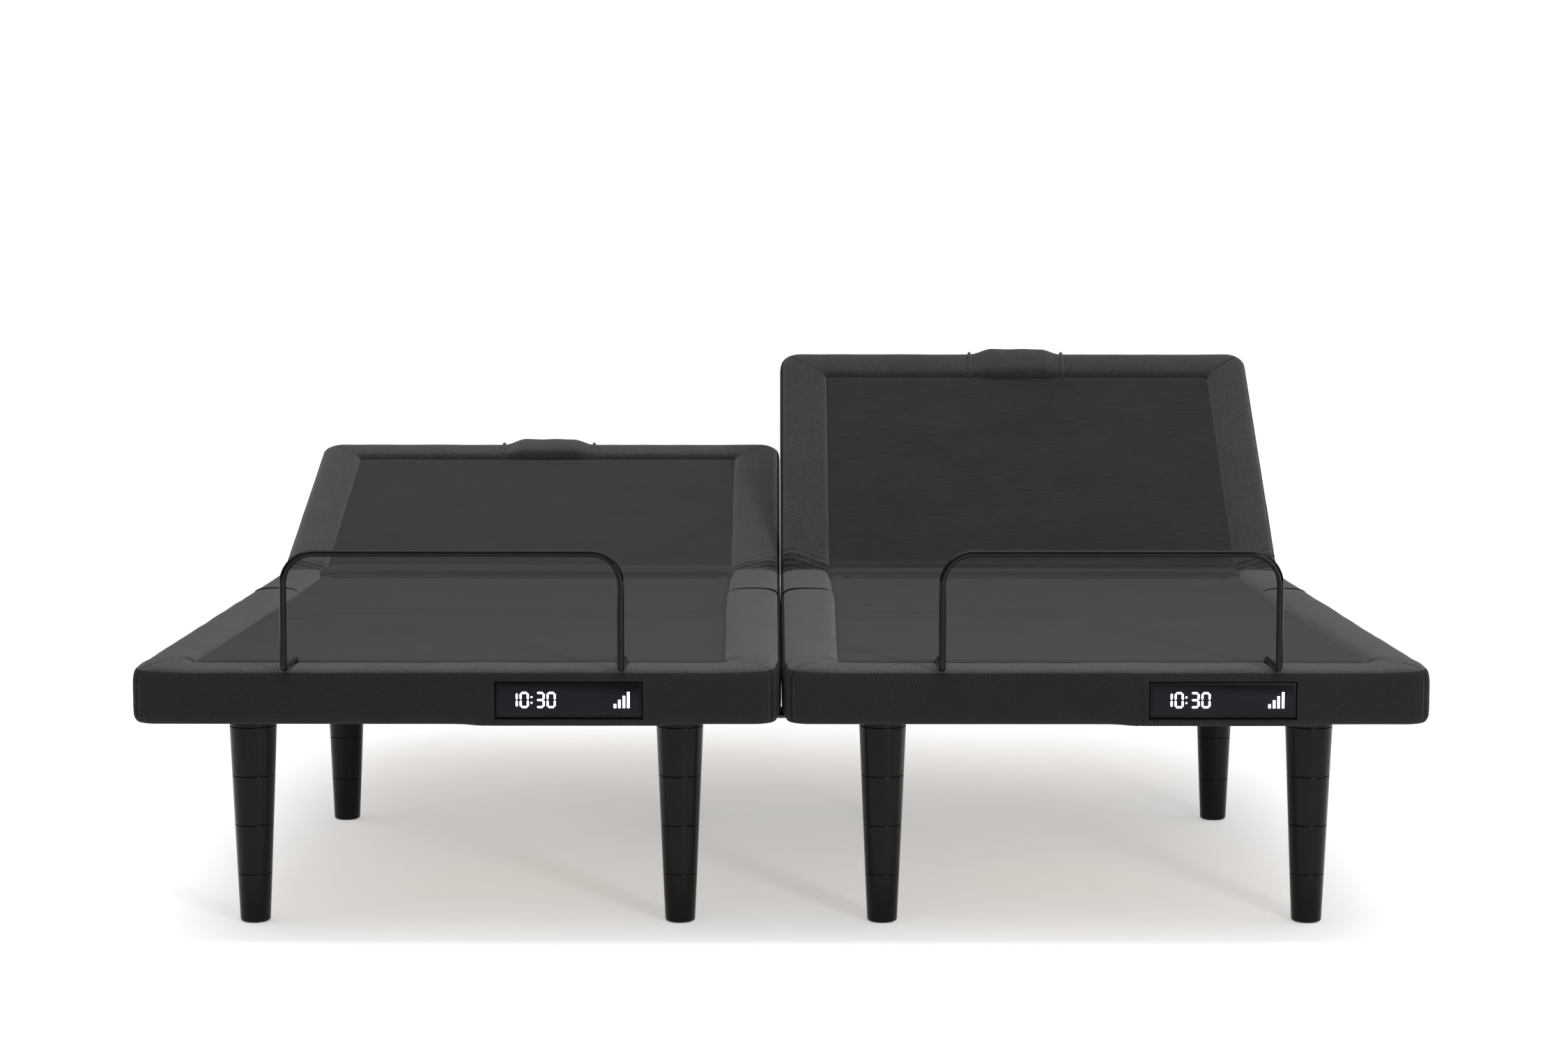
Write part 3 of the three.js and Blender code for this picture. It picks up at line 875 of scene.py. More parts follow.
class PaddedRail:
    """A foam rail under the cover: twill down its wall, darkened as painted shade, heathered border on top,
    lining inside.
    """

    def __init__(self, half: Half, cloths: Sequence[bpy.types.Material]) -> None:
        """Takes the half it belongs to and its lining, wall and border materials.

        Args:
            half: The half it belongs to.
            cloths: Materials for the lining, the wall and the border.
        """
        self.half = half
        self.cloths = cloths
        anchors = len(Wrap.SIDE.value)
        self.side_loop = smooth_loop(Wrap.SIDE.value, LOOP_PARTS)
        self.foot_loop = smooth_loop(Wrap.FOOT.value, LOOP_PARTS)
        self.bands = []
        for anchor in range(anchors):
            band = LINING
            if TWILL_FROM <= anchor < HEATHER_FROM:
                band = TWILL
            elif HEATHER_FROM <= anchor < HEATHER_TO:
                band = HEATHER
            self.bands.extend([band] * LOOP_PARTS)

    def ring(
        self,
        station: Station,
        dent: Callable[[float, float, float], tuple[float, float, float]],
    ) -> list[tuple]:
        """The points of one cut, in plan.

        Args:
            station: The cut.
            dent: Moves a point of the plan for pockets, wrinkles and the like.

        Returns:
            The points.
        """
        outer = Vector(station.outer)
        across = Vector(station.inner) - outer
        width = across.length
        across.normalize()
        stretch = width / PLAN.border
        ring = []
        for index, (side, foot) in enumerate(zip(self.side_loop, self.foot_loop, strict=True)):
            inward = (side[0] + (foot[0] - side[0]) * station.low) * MM
            height = (side[1] + (foot[1] - side[1]) * station.low) * MM
            anchor = index / LOOP_PARTS
            on_top = HEATHER_FROM <= anchor <= HEATHER_TO
            if station.seam and on_top:
                height -= station.seam * ease(inward / 0.02)
            elif station.seam and anchor > TWILL_FROM + 2:
                inward += station.seam * 0.8
            if station.tuck:
                height -= station.tuck * (0.8 if on_top else 0.0)
            if station.swell:
                middle = 0.045
                inward = middle + (inward - middle) * (1 + station.swell / middle * (0.5 if on_top else 0.9))
                height += station.swell * (1 if height > 0.37 else -0.2) * (1 if on_top else 0.6)
            inward *= stretch if inward > 0 else 1
            point = outer + across * (inward + station.pinch * hill(inward, 0.05))
            ring.append(dent(point.x, point.y, height))
        return ring

    def build(
        self,
        name: str,
        stations: Iterable[Station],
        place: Place,
        dent: Callable[[float, float, float], tuple[float, float, float]],
    ) -> bpy.types.Object:
        """Lofts the cuts into one closed, upholstered body.

        Args:
            name: The piece's short name.
            stations: The cuts, in order along the rail.
            place: Takes a point of the plan into the row frame.
            dent: Moves a point of the plan.

        Returns:
            The piece.
        """
        shape = Shape()
        rings = [[place(*point) for point in self.ring(station, dent)] for station in stations]
        shape.loft(rings, self.bands, LINING)
        piece = shape.make(f"{self.half.name}_{name}", self.cloths, sharp=75)
        return piece


@dataclass(frozen=True)
class Window:
    """The opening for the display in the foot face, as its box in plan."""

    x: tuple[float, float]
    z: tuple[float, float]
    depth: float
    clear: float = 0.0006

    def holds(self, x: float, y: float, z: float) -> bool:
        """Whether a point of the face lies in the opening.

        Args:
            x: Sideways from the half's middle.
            y: From the foot face.
            z: Above the floor.

        Returns:
            True where it does.
        """
        inside_x = self.x[0] - self.clear < x < self.x[1] + self.clear
        inside_z = self.z[0] - self.clear < z < self.z[1] + self.clear
        return inside_x and inside_z and y < 0.02


@dataclass
class Upholsterer:
    """Builds every padded piece of a half: border rails, fold gussets, decks and the centre pad."""

    half: Half
    bar_x: float = 0.247
    bar_back: float = 0.097
    bar_bottom: float = 0.4127
    corner_steps: int = 12
    fold_from: float = 1.372
    fold_to: float = 1.446
    deck_tuck: float = 0.0065

    def __post_init__(self) -> None:
        """Dyes the cloths for this half's two slopes and measures the display's opening."""
        rise = self.half.rise
        middle = self.half.middle
        # The wall twill is dyed dark as painted shade on the walls.
        wall = FACE_CLOTH_PAINTED_SHADE.dye(0.0, middle)
        head_wall = FACE_CLOTH_PAINTED_SHADE.dye(rise, middle)
        self.flat_rail = PaddedRail(self.half, (wall, wall, BORDER_CLOTH.dye()))
        self.head_rail = PaddedRail(self.half, (head_wall, head_wall, BORDER_CLOTH.dye(rise)))
        self.deck_cloth = DECK_CLOTH.dye()
        self.head_cloth = DECK_CLOTH.dye(rise)
        low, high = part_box(self.half.body("display"))
        self.window = Window(
            x=(low.x - self.half.middle, high.x - self.half.middle),
            z=(low.z, high.z),
            depth=high.y - self.half.face + 0.0005,
        )

    # -- how the cloth gives --

    def rumple(self, x: float, y: float, z: float) -> tuple[float, float, float]:
        """The slight unevenness of stuffed cloth, on tops and walls alike.

        Args:
            x: Sideways from the half's middle.
            y: From the foot face.
            z: Above the floor.

        Returns:
            The moved point.
        """
        top = ease((z - 0.405) / 0.01)
        swell = ripple(x, y, z, 0.11) * 0.0011 + ripple(x, y, z + 3, 0.035) * 0.0004
        lean = ripple(x, y, z + 7, 0.09) * 0.0009
        if x * self.half.outward < 0:
            lean = 0.0
        deck_side = PLAN.inner(y)
        inner = ease((abs(x) - deck_side + 0.02) / 0.02) * (1 - ease((abs(x) - deck_side - 0.03) / 0.03))
        wave = ripple(0.3 * self.half.outward, y, 5.0 + math.copysign(1, x), 0.16) * 0.0022
        side = math.copysign(1, x) if x else 0.0
        return (x + (lean * (1 - top) + wave * inner * top) * side, y, z + swell * top)

    def foot_dents(self, x: float, y: float, z: float) -> tuple[float, float, float]:
        """The display's pocket, the retainer bar's dents and the top-stitched seams of the foot.

        Args:
            x: Sideways from the half's middle.
            y: From the foot face.
            z: Above the floor.

        Returns:
            The moved point.
        """
        if self.window.holds(x, y, z):
            return (x, self.window.depth, z)
        near_window = y < 0.02 and abs(x - sum(self.window.x) / 2) < 0.125 and 0.336 < z < 0.402
        x, rumpled, z = self.rumple(x, y, z) if not near_window else (x, y, z)
        y = rumpled
        if y < 0.02 and z < 0.345:
            z -= 0.0026 * ease((0.165 - abs(x - sum(self.window.x) / 2)) / 0.04)
        if y < 0.02 and z < 0.404:
            y += 0.0016 * hill(x - self.window.x[0] + 0.0115, 0.0022)
        if near_window:
            edge = hill(abs(x - self.window.x[0]) - 0.006, 0.006)
            y -= 0.0012 * edge * (1 + 0.6 * ripple(x, y, z, 0.012))
        elif y < 0.02 and z < 0.404:
            y += 0.0007 * ripple(x, 0, z, 0.06)
        beside = abs(abs(x) - self.bar_x)
        if y < self.bar_back + 0.004:
            clear = 0.05 if beside > 0.012 else 0
            z = min(z, self.bar_bottom + 0.0055 * ease((beside - 0.0035) / 0.008) + clear)
        return (x, y, z)

    def fold_dents(self, x: float, y: float, z: float) -> tuple[float, float, float]:
        """The bunched wrinkles of the border over the head joint, deepest towards the outside.

        Args:
            x: Sideways from the half's middle.
            y: From the foot face.
            z: Above the floor.

        Returns:
            The moved point.
        """
        x, y, z = self.rumple(x, y, z)
        outside = ease((abs(x) - PLAN.seat_inner) / PLAN.border)
        along = y - self.half.head - 0.012 - 0.030 * outside
        top = ease((z - 0.398) / 0.012)
        bunch = hill(along, 0.028)
        crease = math.sin(along * 2 * math.pi / 0.0150 + 2.4 * ripple(x, 0, 1, 0.06))
        z += top * bunch * crease * 0.0046 * (0.2 + 0.8 * outside)
        z += top * 0.0015 * hill(y - self.half.head + 0.010, 0.010)
        z -= top * 0.0070 * hill(y - self.half.head + 0.001, 0.0034)
        wall = (1 - top) * bunch * math.sin(along * 2 * math.pi / 0.021 + z * 60) * 0.0030
        return (x - math.copysign(wall, x) * outside, y, z)

    # -- where the rails are cut --

    def edge(self, side: int, y: float) -> float:
        """Where the outside of a rail is, on either side of the half."""
        return PLAN.outer(y, side == self.half.outward)

    def side_cuts(self, side: int, ys: Iterable[float], open_end: float | None = None) -> list[Station]:
        """Cuts along one side.

        Args:
            side: -1 or 1 in x.
            ys: The distances from the foot face.
            open_end: The distance at which the rail ends in rounded corners, or None.

        Returns:
            The cuts.
        """
        cuts = []
        for y in ys:
            pinch = 0.0
            tuck = 0.0
            if open_end is not None:
                near = max(0.0, 1 - abs(y - open_end) / 0.026)
                pinch = 0.022 * (1 - math.sqrt(max(0.0, 1 - near * near)))
                tight = max(0.0, 1 - abs(y - open_end) / 0.013)
                tuck = 0.013 * (1 - math.sqrt(max(0.0, 1 - tight * tight)))
            inner = PLAN.inner(y)
            cuts.append(Station((side * self.edge(side, y), y), (side * inner, y), pinch=pinch, tuck=tuck))
        return cuts

    def corner_cuts(self, side: int, end: float, way: int, low: float, border: float) -> list[Station]:
        """Cuts round an outer corner, with a mitre seam at its middle.

        Args:
            side: -1 or 1 in x.
            end: Where the end's outer line is, from the foot face.
            way: 1 where the rail runs on towards the head end, -1 towards the foot.
            low: How much of the foot section's height the end has.
            border: The width of the border across the end.

        Returns:
            The cuts, from the side round to the end.
        """
        radius = PLAN.corner
        outer = self.edge(side, end)
        centre = (outer - radius, end - way * radius)
        sharp = 0.005
        inner_side = PLAN.inner(end)
        inner = (inner_side - sharp, end - way * (border + sharp))
        angles = [90 * i / self.corner_steps for i in range(self.corner_steps + 1)]
        angles = sorted([*angles, 42.5, 43.9, 46.1, 47.5])
        cuts = []
        for y in (end - way * back for back in (0.100, 0.085, 0.070, 0.055, 0.044)):
            inside = y if way * (end - y) > border + sharp else end - way * (border + sharp)
            share = (0.105 - way * (end - y)) / (0.105 - radius)
            outside = (side * self.edge(side, y), y)
            cuts.append(Station(outside, (side * inner_side, inside), low=low * ease(share * 0.4)))
        for angle in angles:
            turn = math.radians(angle)
            point = (side * (centre[0] + radius * math.cos(turn)), centre[1] + way * radius * math.sin(turn))
            turned = (side * (inner[0] + sharp * math.cos(turn)), inner[1] + way * sharp * math.sin(turn))
            seam = 0.0024 * hill(angle - 45, 1.3)
            cuts.append(Station(point, turned, low=low * ease(0.4 + 0.3 * angle / 90), seam=seam))
        for x in (0.044, 0.055, 0.070, 0.085, 0.100):
            inside = min(outer - x, inner_side - sharp)
            share = 0.7 + 0.3 * (x - radius) / (0.100 - radius)
            outside = (side * (outer - x), end)
            cuts.append(Station(outside, (side * inside, end - way * border), low=low * ease(share)))
        return cuts

    def foot_cuts(self) -> list[Station]:
        """Cuts of the foot's border: up one side, across the foot end and down the other side.

        Returns:
            The cuts.
        """
        ys = [*spread(PLAN.thigh_split, self.half.knee + 0.09, 0.03),
              *spread(self.half.knee + 0.08, self.half.knee - 0.09, 0.010),
              *spread(self.half.knee - 0.11, 0.12, 0.02)]
        left, right = (
            self.side_cuts(s, ys) + self.corner_cuts(s, 0.0, -1, 1.0, PLAN.border)
            for s in (-1, 1)
        )
        reach = PLAN.face_side - 0.115
        xs = set(spread(-reach, reach, 0.016))
        for x in (-self.bar_x, self.bar_x):
            xs.update(x + d * MM for d in (-14, -10, -7, -4, -2, 0, 2, 4, 7, 10, 14))
        for x, way in zip(self.window.x, (-1, 1), strict=True):
            xs.update(x + way * d * MM for d in (-2, -0.2, 0.3, 1.0, 3, 6, 9, 10.5, 12, 14, 18))
        ordered = sorted(xs)
        kept = [x for i, x in enumerate(ordered) if i == 0 or x - ordered[i - 1] > 0.0002]
        across = [Station((x, 0.0), (x, PLAN.border), low=1.0) for x in kept]
        return left + across + right[::-1]

    def head_cuts(self, side: int) -> list[Station]:
        """Cuts of one head rail: up the side, round the corner and along the end to the centre pad.

        Args:
            side: -1 or 1 in x.

        Returns:
            The cuts.
        """
        ys = spread(PLAN.head_split, PLAN.head_end - 0.115, 0.022)
        end = PLAN.head_end
        cuts = self.side_cuts(side, ys) + self.corner_cuts(side, end, 1, 0.0, PLAN.head_border)
        xs = spread(PLAN.side - 0.115, PLAN.pad_half + 0.002, 0.02)
        return cuts + [Station((side * x, end), (side * x, end - PLAN.head_border)) for x in xs]

    # -- the pieces --

    def blend(self, piece: bpy.types.Object, bodies: tuple[str, str], start: float, end: float) -> None:
        """Bakes a flat piece's place into its mesh; it isn't bent between the two bodies.

        Args:
            piece: The piece.
            bodies: The body at its start and the body at its end, named only in the log.
            start: Where a bend would start, from the foot face; nothing is done with it.
            end: Where it would end; nothing is done with it.
        """
        half = self.half
        half.flat(0, start, half.axis)
        half.flat(0, end, half.axis)
        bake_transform(piece)
        LOG.info("%s bends between %s and %s", piece.name, *bodies)

    def foot_border(self) -> None:
        """The border and face round the foot deck, drawn flat; it isn't bent with the knee."""
        half = self.half
        piece = self.flat_rail.build("foot_border", self.foot_cuts(), half.flat, self.foot_dents)
        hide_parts(half.body("foot_cover"))
        bodies = (half.body("foot_deck"), half.body("thigh_deck"))
        self.blend(piece, bodies, half.knee - 0.08, half.knee + 0.08)

    def middle_borders(self) -> None:
        """The thigh and seat borders, which meet in a tight rounded seam over the thigh joint."""
        half = self.half
        close = [half.thigh - d * MM for d in (24, 20, 16, 12, 9, 7, 5, 3.6, 2.4, 1.4, 0.7, 0.25)]
        apart = [2 * half.thigh - y for y in reversed(close)]
        for side, word in ((half.outward, "outer"), (-half.outward, "inner")):
            before = [*spread(PLAN.thigh_split, half.thigh - 0.03, 0.02), *close]
            after = [*apart, *spread(half.thigh + 0.03, PLAN.seat_split, 0.02)]
            thigh = self.side_cuts(side, before, half.thigh)
            seat = self.side_cuts(side, after, half.thigh)
            for name, cuts in (("thigh", thigh), ("seat", seat)):
                piece = self.flat_rail.build(f"{name}_{word}_border", cuts, half.flat, self.rumple)
                if word == "outer":
                    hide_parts(half.body(f"{name}_cover"))
                self.blend(piece, (half.body("thigh_deck"), "chassis"), half.thigh - 0.06, half.thigh + 0.06)

    def thigh_seams(self) -> None:
        """A dark cord in the seams where the thigh and seat borders meet: a painted shadow line, put where
        the seam holds only shade.
        """
        half = self.half
        shape = Shape()
        first = (HEATHER_FROM - 2) * LOOP_PARTS
        last = (HEATHER_TO - 1) * LOOP_PARTS
        for side in (-1, 1):
            cut = self.side_cuts(side, [half.thigh])[0]
            ring = self.flat_rail.ring(cut, self.rumple)[first:last]
            shape.tube([half.flat(x, y, z - 0.0004) for x, y, z in ring], 0.0015, sides=8)
        # The cord takes the dark wall twill, so that it reads as the painted shadow in the seam.
        cord = shape.make(half.body("thigh_seam_cord"), [FACE_CLOTH_PAINTED_SHADE.dye()])
        self.blend(cord, (half.body("thigh_deck"), "chassis"), half.thigh - 0.06, half.thigh + 0.06)

    def fold_share(self, x: float, y: float) -> float:
        """How far a point of the fold has turned with the head deck, from 0 to 1: more gently outside.

        Args:
            x: Sideways from the half's middle.
            y: From the foot face.

        Returns:
            The share.
        """
        loose = ease((x * self.half.outward - 0.36) / 0.11)
        start = 1.384 + (self.fold_from - 0.012 - 1.384) * loose
        end = 1.432 + (PLAN.head_split - 0.004 - 1.432) * loose
        return ease((y - start) / (end - start))

    def folded(self, x: float, y: float, z: float) -> Vector:
        """A point of the fold's plan, turned by its share of the head's rise."""
        return self.half.raised(x, y, z, self.fold_share(x, y))

    def blend_fold(self, piece: bpy.types.Object) -> None:
        """Bakes a piece of the fold's place into its mesh; it isn't bent between the chassis and the head
        deck.

        Args:
            piece: The piece.
        """
        half = self.half
        start = half.flat(0, self.fold_from, half.axis)
        end = half.raised(0, self.fold_to, half.axis)
        half.body("head_deck")
        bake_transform(piece)
        LOG.info("%s bends over the head joint", piece.name)

    def fold_borders(self) -> None:
        """The gussets of border cloth over the head joint."""
        half = self.half
        ys = [*spread(PLAN.seat_split, self.fold_from, 0.012),
              *spread(self.fold_from + 0.003, self.fold_to, 0.0018),
              *spread(self.fold_to + 0.004, PLAN.head_split, 0.006)]
        for side, word in ((half.outward, "outer"), (-half.outward, "inner")):
            cuts = self.side_cuts(side, ys)
            piece = self.flat_rail.build(f"fold_{word}_gusset", cuts, self.folded, self.fold_dents)
            self.blend_fold(piece)

    def head_borders(self) -> None:
        """The two head rails and the thicker padded module between them."""
        half = self.half
        for side, word in ((half.outward, "outer"), (-half.outward, "inner")):
            cuts = self.head_cuts(side)
            piece = self.head_rail.build(f"head_{word}_border", cuts, half.raised, self.rumple)
            if word == "outer":
                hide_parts(half.body("head_cover"))
            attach(piece, half.body("head_deck"))
            LOG.info("%s rides the head deck", piece.name)
        edge = PLAN.pad_half - 0.0005
        cuts = []
        for x in spread(-edge, edge, 0.006):
            swell = 0.0115 * ease((PLAN.pad_half - abs(x)) / 0.046) + 0.0008 * ripple(x, 0, 0, 0.03)
            cuts.append(Station((x, PLAN.head_end), (x, PLAN.head_end - PLAN.head_border), swell=swell))
        pad = self.head_rail.build("head_centre_module", cuts, half.raised, self.rumple)
        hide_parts(half.body("head_centre_pad"))
        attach(pad, half.body("head_deck"))
        self.pad_piping()

    def pad_piping(self) -> None:
        """A roll of piping down each side of the centre pad, following the head rail's section."""
        half = self.half
        shape = Shape()
        loop = self.head_rail.side_loop[4 * LOOP_PARTS:24 * LOOP_PARTS]
        for side in (-1, 1):
            x = side * (PLAN.pad_half - 0.001)
            path = []
            narrow = PLAN.head_border / PLAN.border
            for inward, height in loop:
                away = Vector((inward * MM - 0.045, height * MM - 0.380)).normalized() * 0.0016
                y = PLAN.head_end - inward * MM * narrow - away.x
                path.append(half.raised(x, y, height * MM + away.y))
            shape.tube(path, 0.0033, sides=10)
        piece = shape.make(half.body("centre_module_piping"), [BORDER_CLOTH.dye(half.rise)])
        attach(piece, half.body("head_deck"))

    # -- decks --

    def deck_height(self, x: float, y: float) -> float:
        """The top of the thin deck padding at a point of the plan.

        Args:
            x: Sideways from the half's middle.
            y: From the foot face.

        Returns:
            Its height above the floor.
        """
        half = self.half
        dip = 0.0046  # how far the padding sinks along the borders
        z = PLAN.deck_top + 0.0009 * ripple(x, y, 0, 0.21)
        beside = PLAN.inner(y) + 0.004 - abs(x)
        z -= dip * math.exp(-max(beside, 0.0) / 0.006)
        z -= dip * math.exp(-max(y - PLAN.border + 0.004, 0.0) / 0.007)
        z -= dip * math.exp(-max(PLAN.head_end - PLAN.head_border + 0.004 - y, 0.0) / 0.006)
        creases = ripple(x * 0.22, y * 5.5, 2, 0.11) + 0.5 * ripple(x * 0.3, y * 9, 4, 0.08)
        z += 0.0016 * creases * (hill(y - half.knee, 0.13) + 0.6 * hill(y - half.thigh, 0.10) + 0.12)
        ends = ease((0.364 - abs(x)) / 0.006)
        z += ends * (0.0013 * hill(y - 1.3250, 0.0055) - 0.0024 * hill(y - 1.3165, 0.0018))
        z -= ends * 0.0046 * hill(y - 1.3335, 0.0026)
        z -= 0.0052 * hill(abs(x) - 0.361, 0.007) * hill(y - 1.327, 0.006)
        z += 0.0105 * ease((y - 1.334) / 0.040) * (1 - ease((y - 1.396) / 0.050))
        z -= 0.0060 * hill(y - 1.3975, 0.0028)
        return max(z, PLAN.deck_bottom + 0.0004)

    def deck(
        self,
        name: str,
        ys: Sequence[float],
        place: Place,
        cloth: bpy.types.Material,
    ) -> bpy.types.Object:
        """One panel of thin padding, closed underneath.

        Args:
            name: The piece's short name.
            ys: Where it is cut across, from the foot face.
            place: Takes a point of the plan into the row frame.
            cloth: Its material.

        Returns:
            The piece.
        """
        reach = PLAN.inner(PLAN.seat_split) + self.deck_tuck
        plan = spread(-reach, reach, 0.016)
        fine = [reach - d * MM for d in (2.5, 4.5, 6, 7.5, 9.5, 12, 15, 18.5, 23.5, 26.5, 30.5, 34.5, 40.5)]
        plan = sorted({round(x, 5) for x in [*plan, *fine, *(-x for x in fine)]})
        rings = []
        for y in ys:
            xs = [x * (PLAN.inner(y) + self.deck_tuck) / reach for x in plan]
            top = [place(x, y, self.deck_height(x, y)) for x in xs]
            under = [
                place(x, y, min(PLAN.deck_bottom, self.deck_height(x, y) - 0.001))
                for x in reversed(xs[::6])
            ]
            rings.append(top + under)
        shape = Shape()
        shape.loft(rings)
        piece = shape.make(f"{self.half.name}_{name}", [cloth], sharp=75)
        return piece

    def decks(self) -> None:
        """The four lengths of deck cloth, drawn flat over the knee and the thigh; the fold length is drawn
        turned partway with the head, and the head length rides the head deck.
        """
        half = self.half
        foot = [*spread(PLAN.border - 0.004, 0.13, 0.0035), *spread(0.14, half.knee - 0.09, 0.02),
                *spread(half.knee - 0.08, half.knee + 0.08, 0.006),
                *spread(half.knee + 0.09, PLAN.thigh_split, 0.01)]
        piece = self.deck("foot_deck_cloth", foot, half.flat, self.deck_cloth)
        bodies = (half.body("foot_deck"), half.body("thigh_deck"))
        self.blend(piece, bodies, half.knee - 0.08, half.knee + 0.08)
        seat = [*spread(PLAN.thigh_split, half.thigh - 0.065, 0.012),
                *spread(half.thigh - 0.06, half.thigh + 0.06, 0.007),
                *spread(half.thigh + 0.07, 1.308, 0.02),
                *spread(1.312, 1.340, 0.0012),
                *spread(1.342, 1.350, 0.002)]
        piece = self.deck("seat_deck_cloth", seat, half.flat, self.deck_cloth)
        self.blend(piece, (half.body("thigh_deck"), "chassis"), half.thigh - 0.06, half.thigh + 0.06)
        fold = [*spread(1.350, self.fold_to, 0.0017), *spread(self.fold_to + 0.003, PLAN.head_split, 0.006)]
        piece = self.deck("fold_deck_cloth", fold, self.folded, self.deck_cloth)
        self.blend_fold(piece)
        top = PLAN.head_end - PLAN.head_border + 0.003
        head = [*spread(PLAN.head_split, top - 0.035, 0.024), *spread(top - 0.03, top, 0.0035)]
        piece = self.deck("head_deck_cloth", head, half.raised, self.head_cloth)
        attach(piece, half.body("head_deck"))

    # -- stitching --

    def stitches(self) -> None:
        """Top stitching: a row down each side of both front corner seams."""
        half = self.half
        shape = Shape()
        radius = PLAN.corner
        for side in (-1, 1):
            for turn in (math.radians(a) for a in (35.0, 55.0)):
                away = Vector((side * math.cos(turn), -math.sin(turn), 0))
                foot = half.flat(side * (PLAN.face_side - radius), radius, 0)
                for z in spread(0.340, 0.400, 0.0042):
                    start = foot + away * (radius + 0.0001) + Vector((0, 0, z))
                    bow = start + away * 0.0004 + Vector((0, 0, 0.0014))
                    shape.tube([start, bow, start + Vector((0, 0, 0.0028))], 0.0005, sides=6)
        piece = shape.make(half.body("foot_face_stitches"), [Finish.THREAD.value.mix()])
        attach(piece, half.body("foot_deck"))
        LOG.info("%s: %d stitches", piece.name, len(shape.faces) // 26)

    def dress(self) -> None:
        """Builds every padded piece of the half."""
        self.foot_border()
        self.middle_borders()
        self.thigh_seams()
        self.fold_borders()
        self.head_borders()
        self.decks()
        self.stitches()


# ---- hard parts ----------------------------------------------------------------------------------


@dataclass
class StackedLeg:
    """A round leg of four threaded lengths that taper to the floor, under a plain collar."""

    name: str
    segment: float = 0.0762
    floor_radius: float = 0.0231
    top_radius: float = 0.036
    groove: float = 0.0011
    sides: int = 64

    def profile(self, height: float) -> list[tuple[float, float]]:
        """The leg's outline, as radius and height, from under its foot pad to its top.

        Args:
            height: The leg's height.

        Returns:
            Pairs of radius and height.
        """
        foot = [(0.0005, 0.0022), (0.0165, 0.0022), (0.0172, 0.0002), (0.0192, 0.0002), (0.0200, 0.0010)]
        bend = [(self.floor_radius - 0.0035 * (1 - math.sin(a)), 0.0045 - 0.0035 * math.cos(a))
                for a in (math.pi / 2 * k / 6 for k in range(7))]
        outline = foot + bend
        for seam in range(1, 5):
            z = seam * self.segment
            radius = self.floor_radius + (self.top_radius - self.floor_radius) * z / (4 * self.segment)
            slope = (self.top_radius - self.floor_radius) / (4 * self.segment)
            outline += [
                (radius - 0.0024 * slope, z - 0.0024),
                (radius - 0.0010 * slope, z - 0.0010),
                (radius - 0.0004, z - 0.0004),
                (radius - self.groove, z - 0.0002),
                (radius - self.groove, z + 0.0002),
                (radius - 0.0004, z + 0.0004),
                (radius + 0.0010 * slope, z + 0.0010),
                (radius + 0.0024 * slope, z + 0.0024),
            ]
        top = self.top_radius
        outline[-1] = (top, outline[-1][1])
        outline[-2] = (top, outline[-2][1])
        outline += [
            (top, height - 0.003),
            (top, height - 0.0014),
            (top - 0.0014, height - 0.0001),
            (0.0005, height - 0.0001),
        ]
        return outline

    def build(self, finish: bpy.types.Material) -> None:
        """Turns the leg where its plain solid stands, and lets it ride the chassis.

        Args:
            finish: The leg's material.
        """
        low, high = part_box(self.name)
        centre = Vector(((low.x + high.x) / 2, (low.y + high.y) / 2, low.z))
        shape = Shape()
        shape.turned(self.profile(high.z - low.z), centre, Vector((0, 0, 1)), self.sides)
        piece = shape.make(self.name.replace("_leg", "_stacked_leg"), [finish], sharp=35)
        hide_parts(self.name)
        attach(piece, "chassis")
        LOG.info("%s stands at %.3f, %.3f", piece.name, centre.x, centre.y)


@dataclass
class RetainerBar:
    """The bent rod at the foot that keeps the mattress from sliding."""

    half: Half
    reach: float = 0.247
    top: float = 0.588
    foot: float = 0.418
    front: float = -0.020
    socket: float = 0.097
    low: float = 0.394
    radius: float = 0.005
    bend: float = 0.045
    elbow: float = 0.009

    def build(self) -> None:
        """Bends the rod and sets a grommet round each leg of it."""
        half = self.half
        corners = [(-self.reach, self.socket, self.low), (-self.reach, self.socket, self.foot),
                   (-self.reach, self.front, self.foot), (-self.reach, self.front, self.top)]
        corners += [(-x, y, z) for x, y, z in reversed(corners)]
        radii = [0, self.elbow, self.elbow, self.bend, self.bend, self.elbow, self.elbow, 0]
        path = rounded_path([half.flat(*c) for c in corners], radii, steps=14)
        shape = Shape()
        shape.tube(path, self.radius, sides=24)
        rod = shape.make(half.body("mattress_retainer"), [Finish.BAR.value.mix()])
        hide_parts(half.body("retainer_bar"))
        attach(rod, half.body("foot_deck"))
        rings = Shape()
        for x in (-self.reach, self.reach):
            collar = [(0.0055, -0.0022), (0.0092, -0.0018), (0.0099, 0.0), (0.0090, 0.0014), (0.0065, 0.0019),
                      (0.0053, 0.0012)]
            rings.turned(collar, half.flat(x, self.socket, PLAN.deck_top - 0.0055), Vector((0, 0, 1)), 28)
        grommets = rings.make(half.body("retainer_grommets"), [Finish.RUBBER.value.mix()])
        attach(grommets, half.body("foot_deck"))
        LOG.info("%s and its grommets", rod.name)


class Segment(Enum):
    """The seven strokes of a digit: start and end on a grid one wide and two high."""

    TOP = ((0, 2), (1, 2))
    UPPER_LEFT = ((0, 2), (0, 1))
    UPPER_RIGHT = ((1, 2), (1, 1))
    MIDDLE = ((0, 1), (1, 1))
    LOWER_LEFT = ((0, 1), (0, 0))
    LOWER_RIGHT = ((1, 1), (1, 0))
    BOTTOM = ((0, 0), (1, 0))


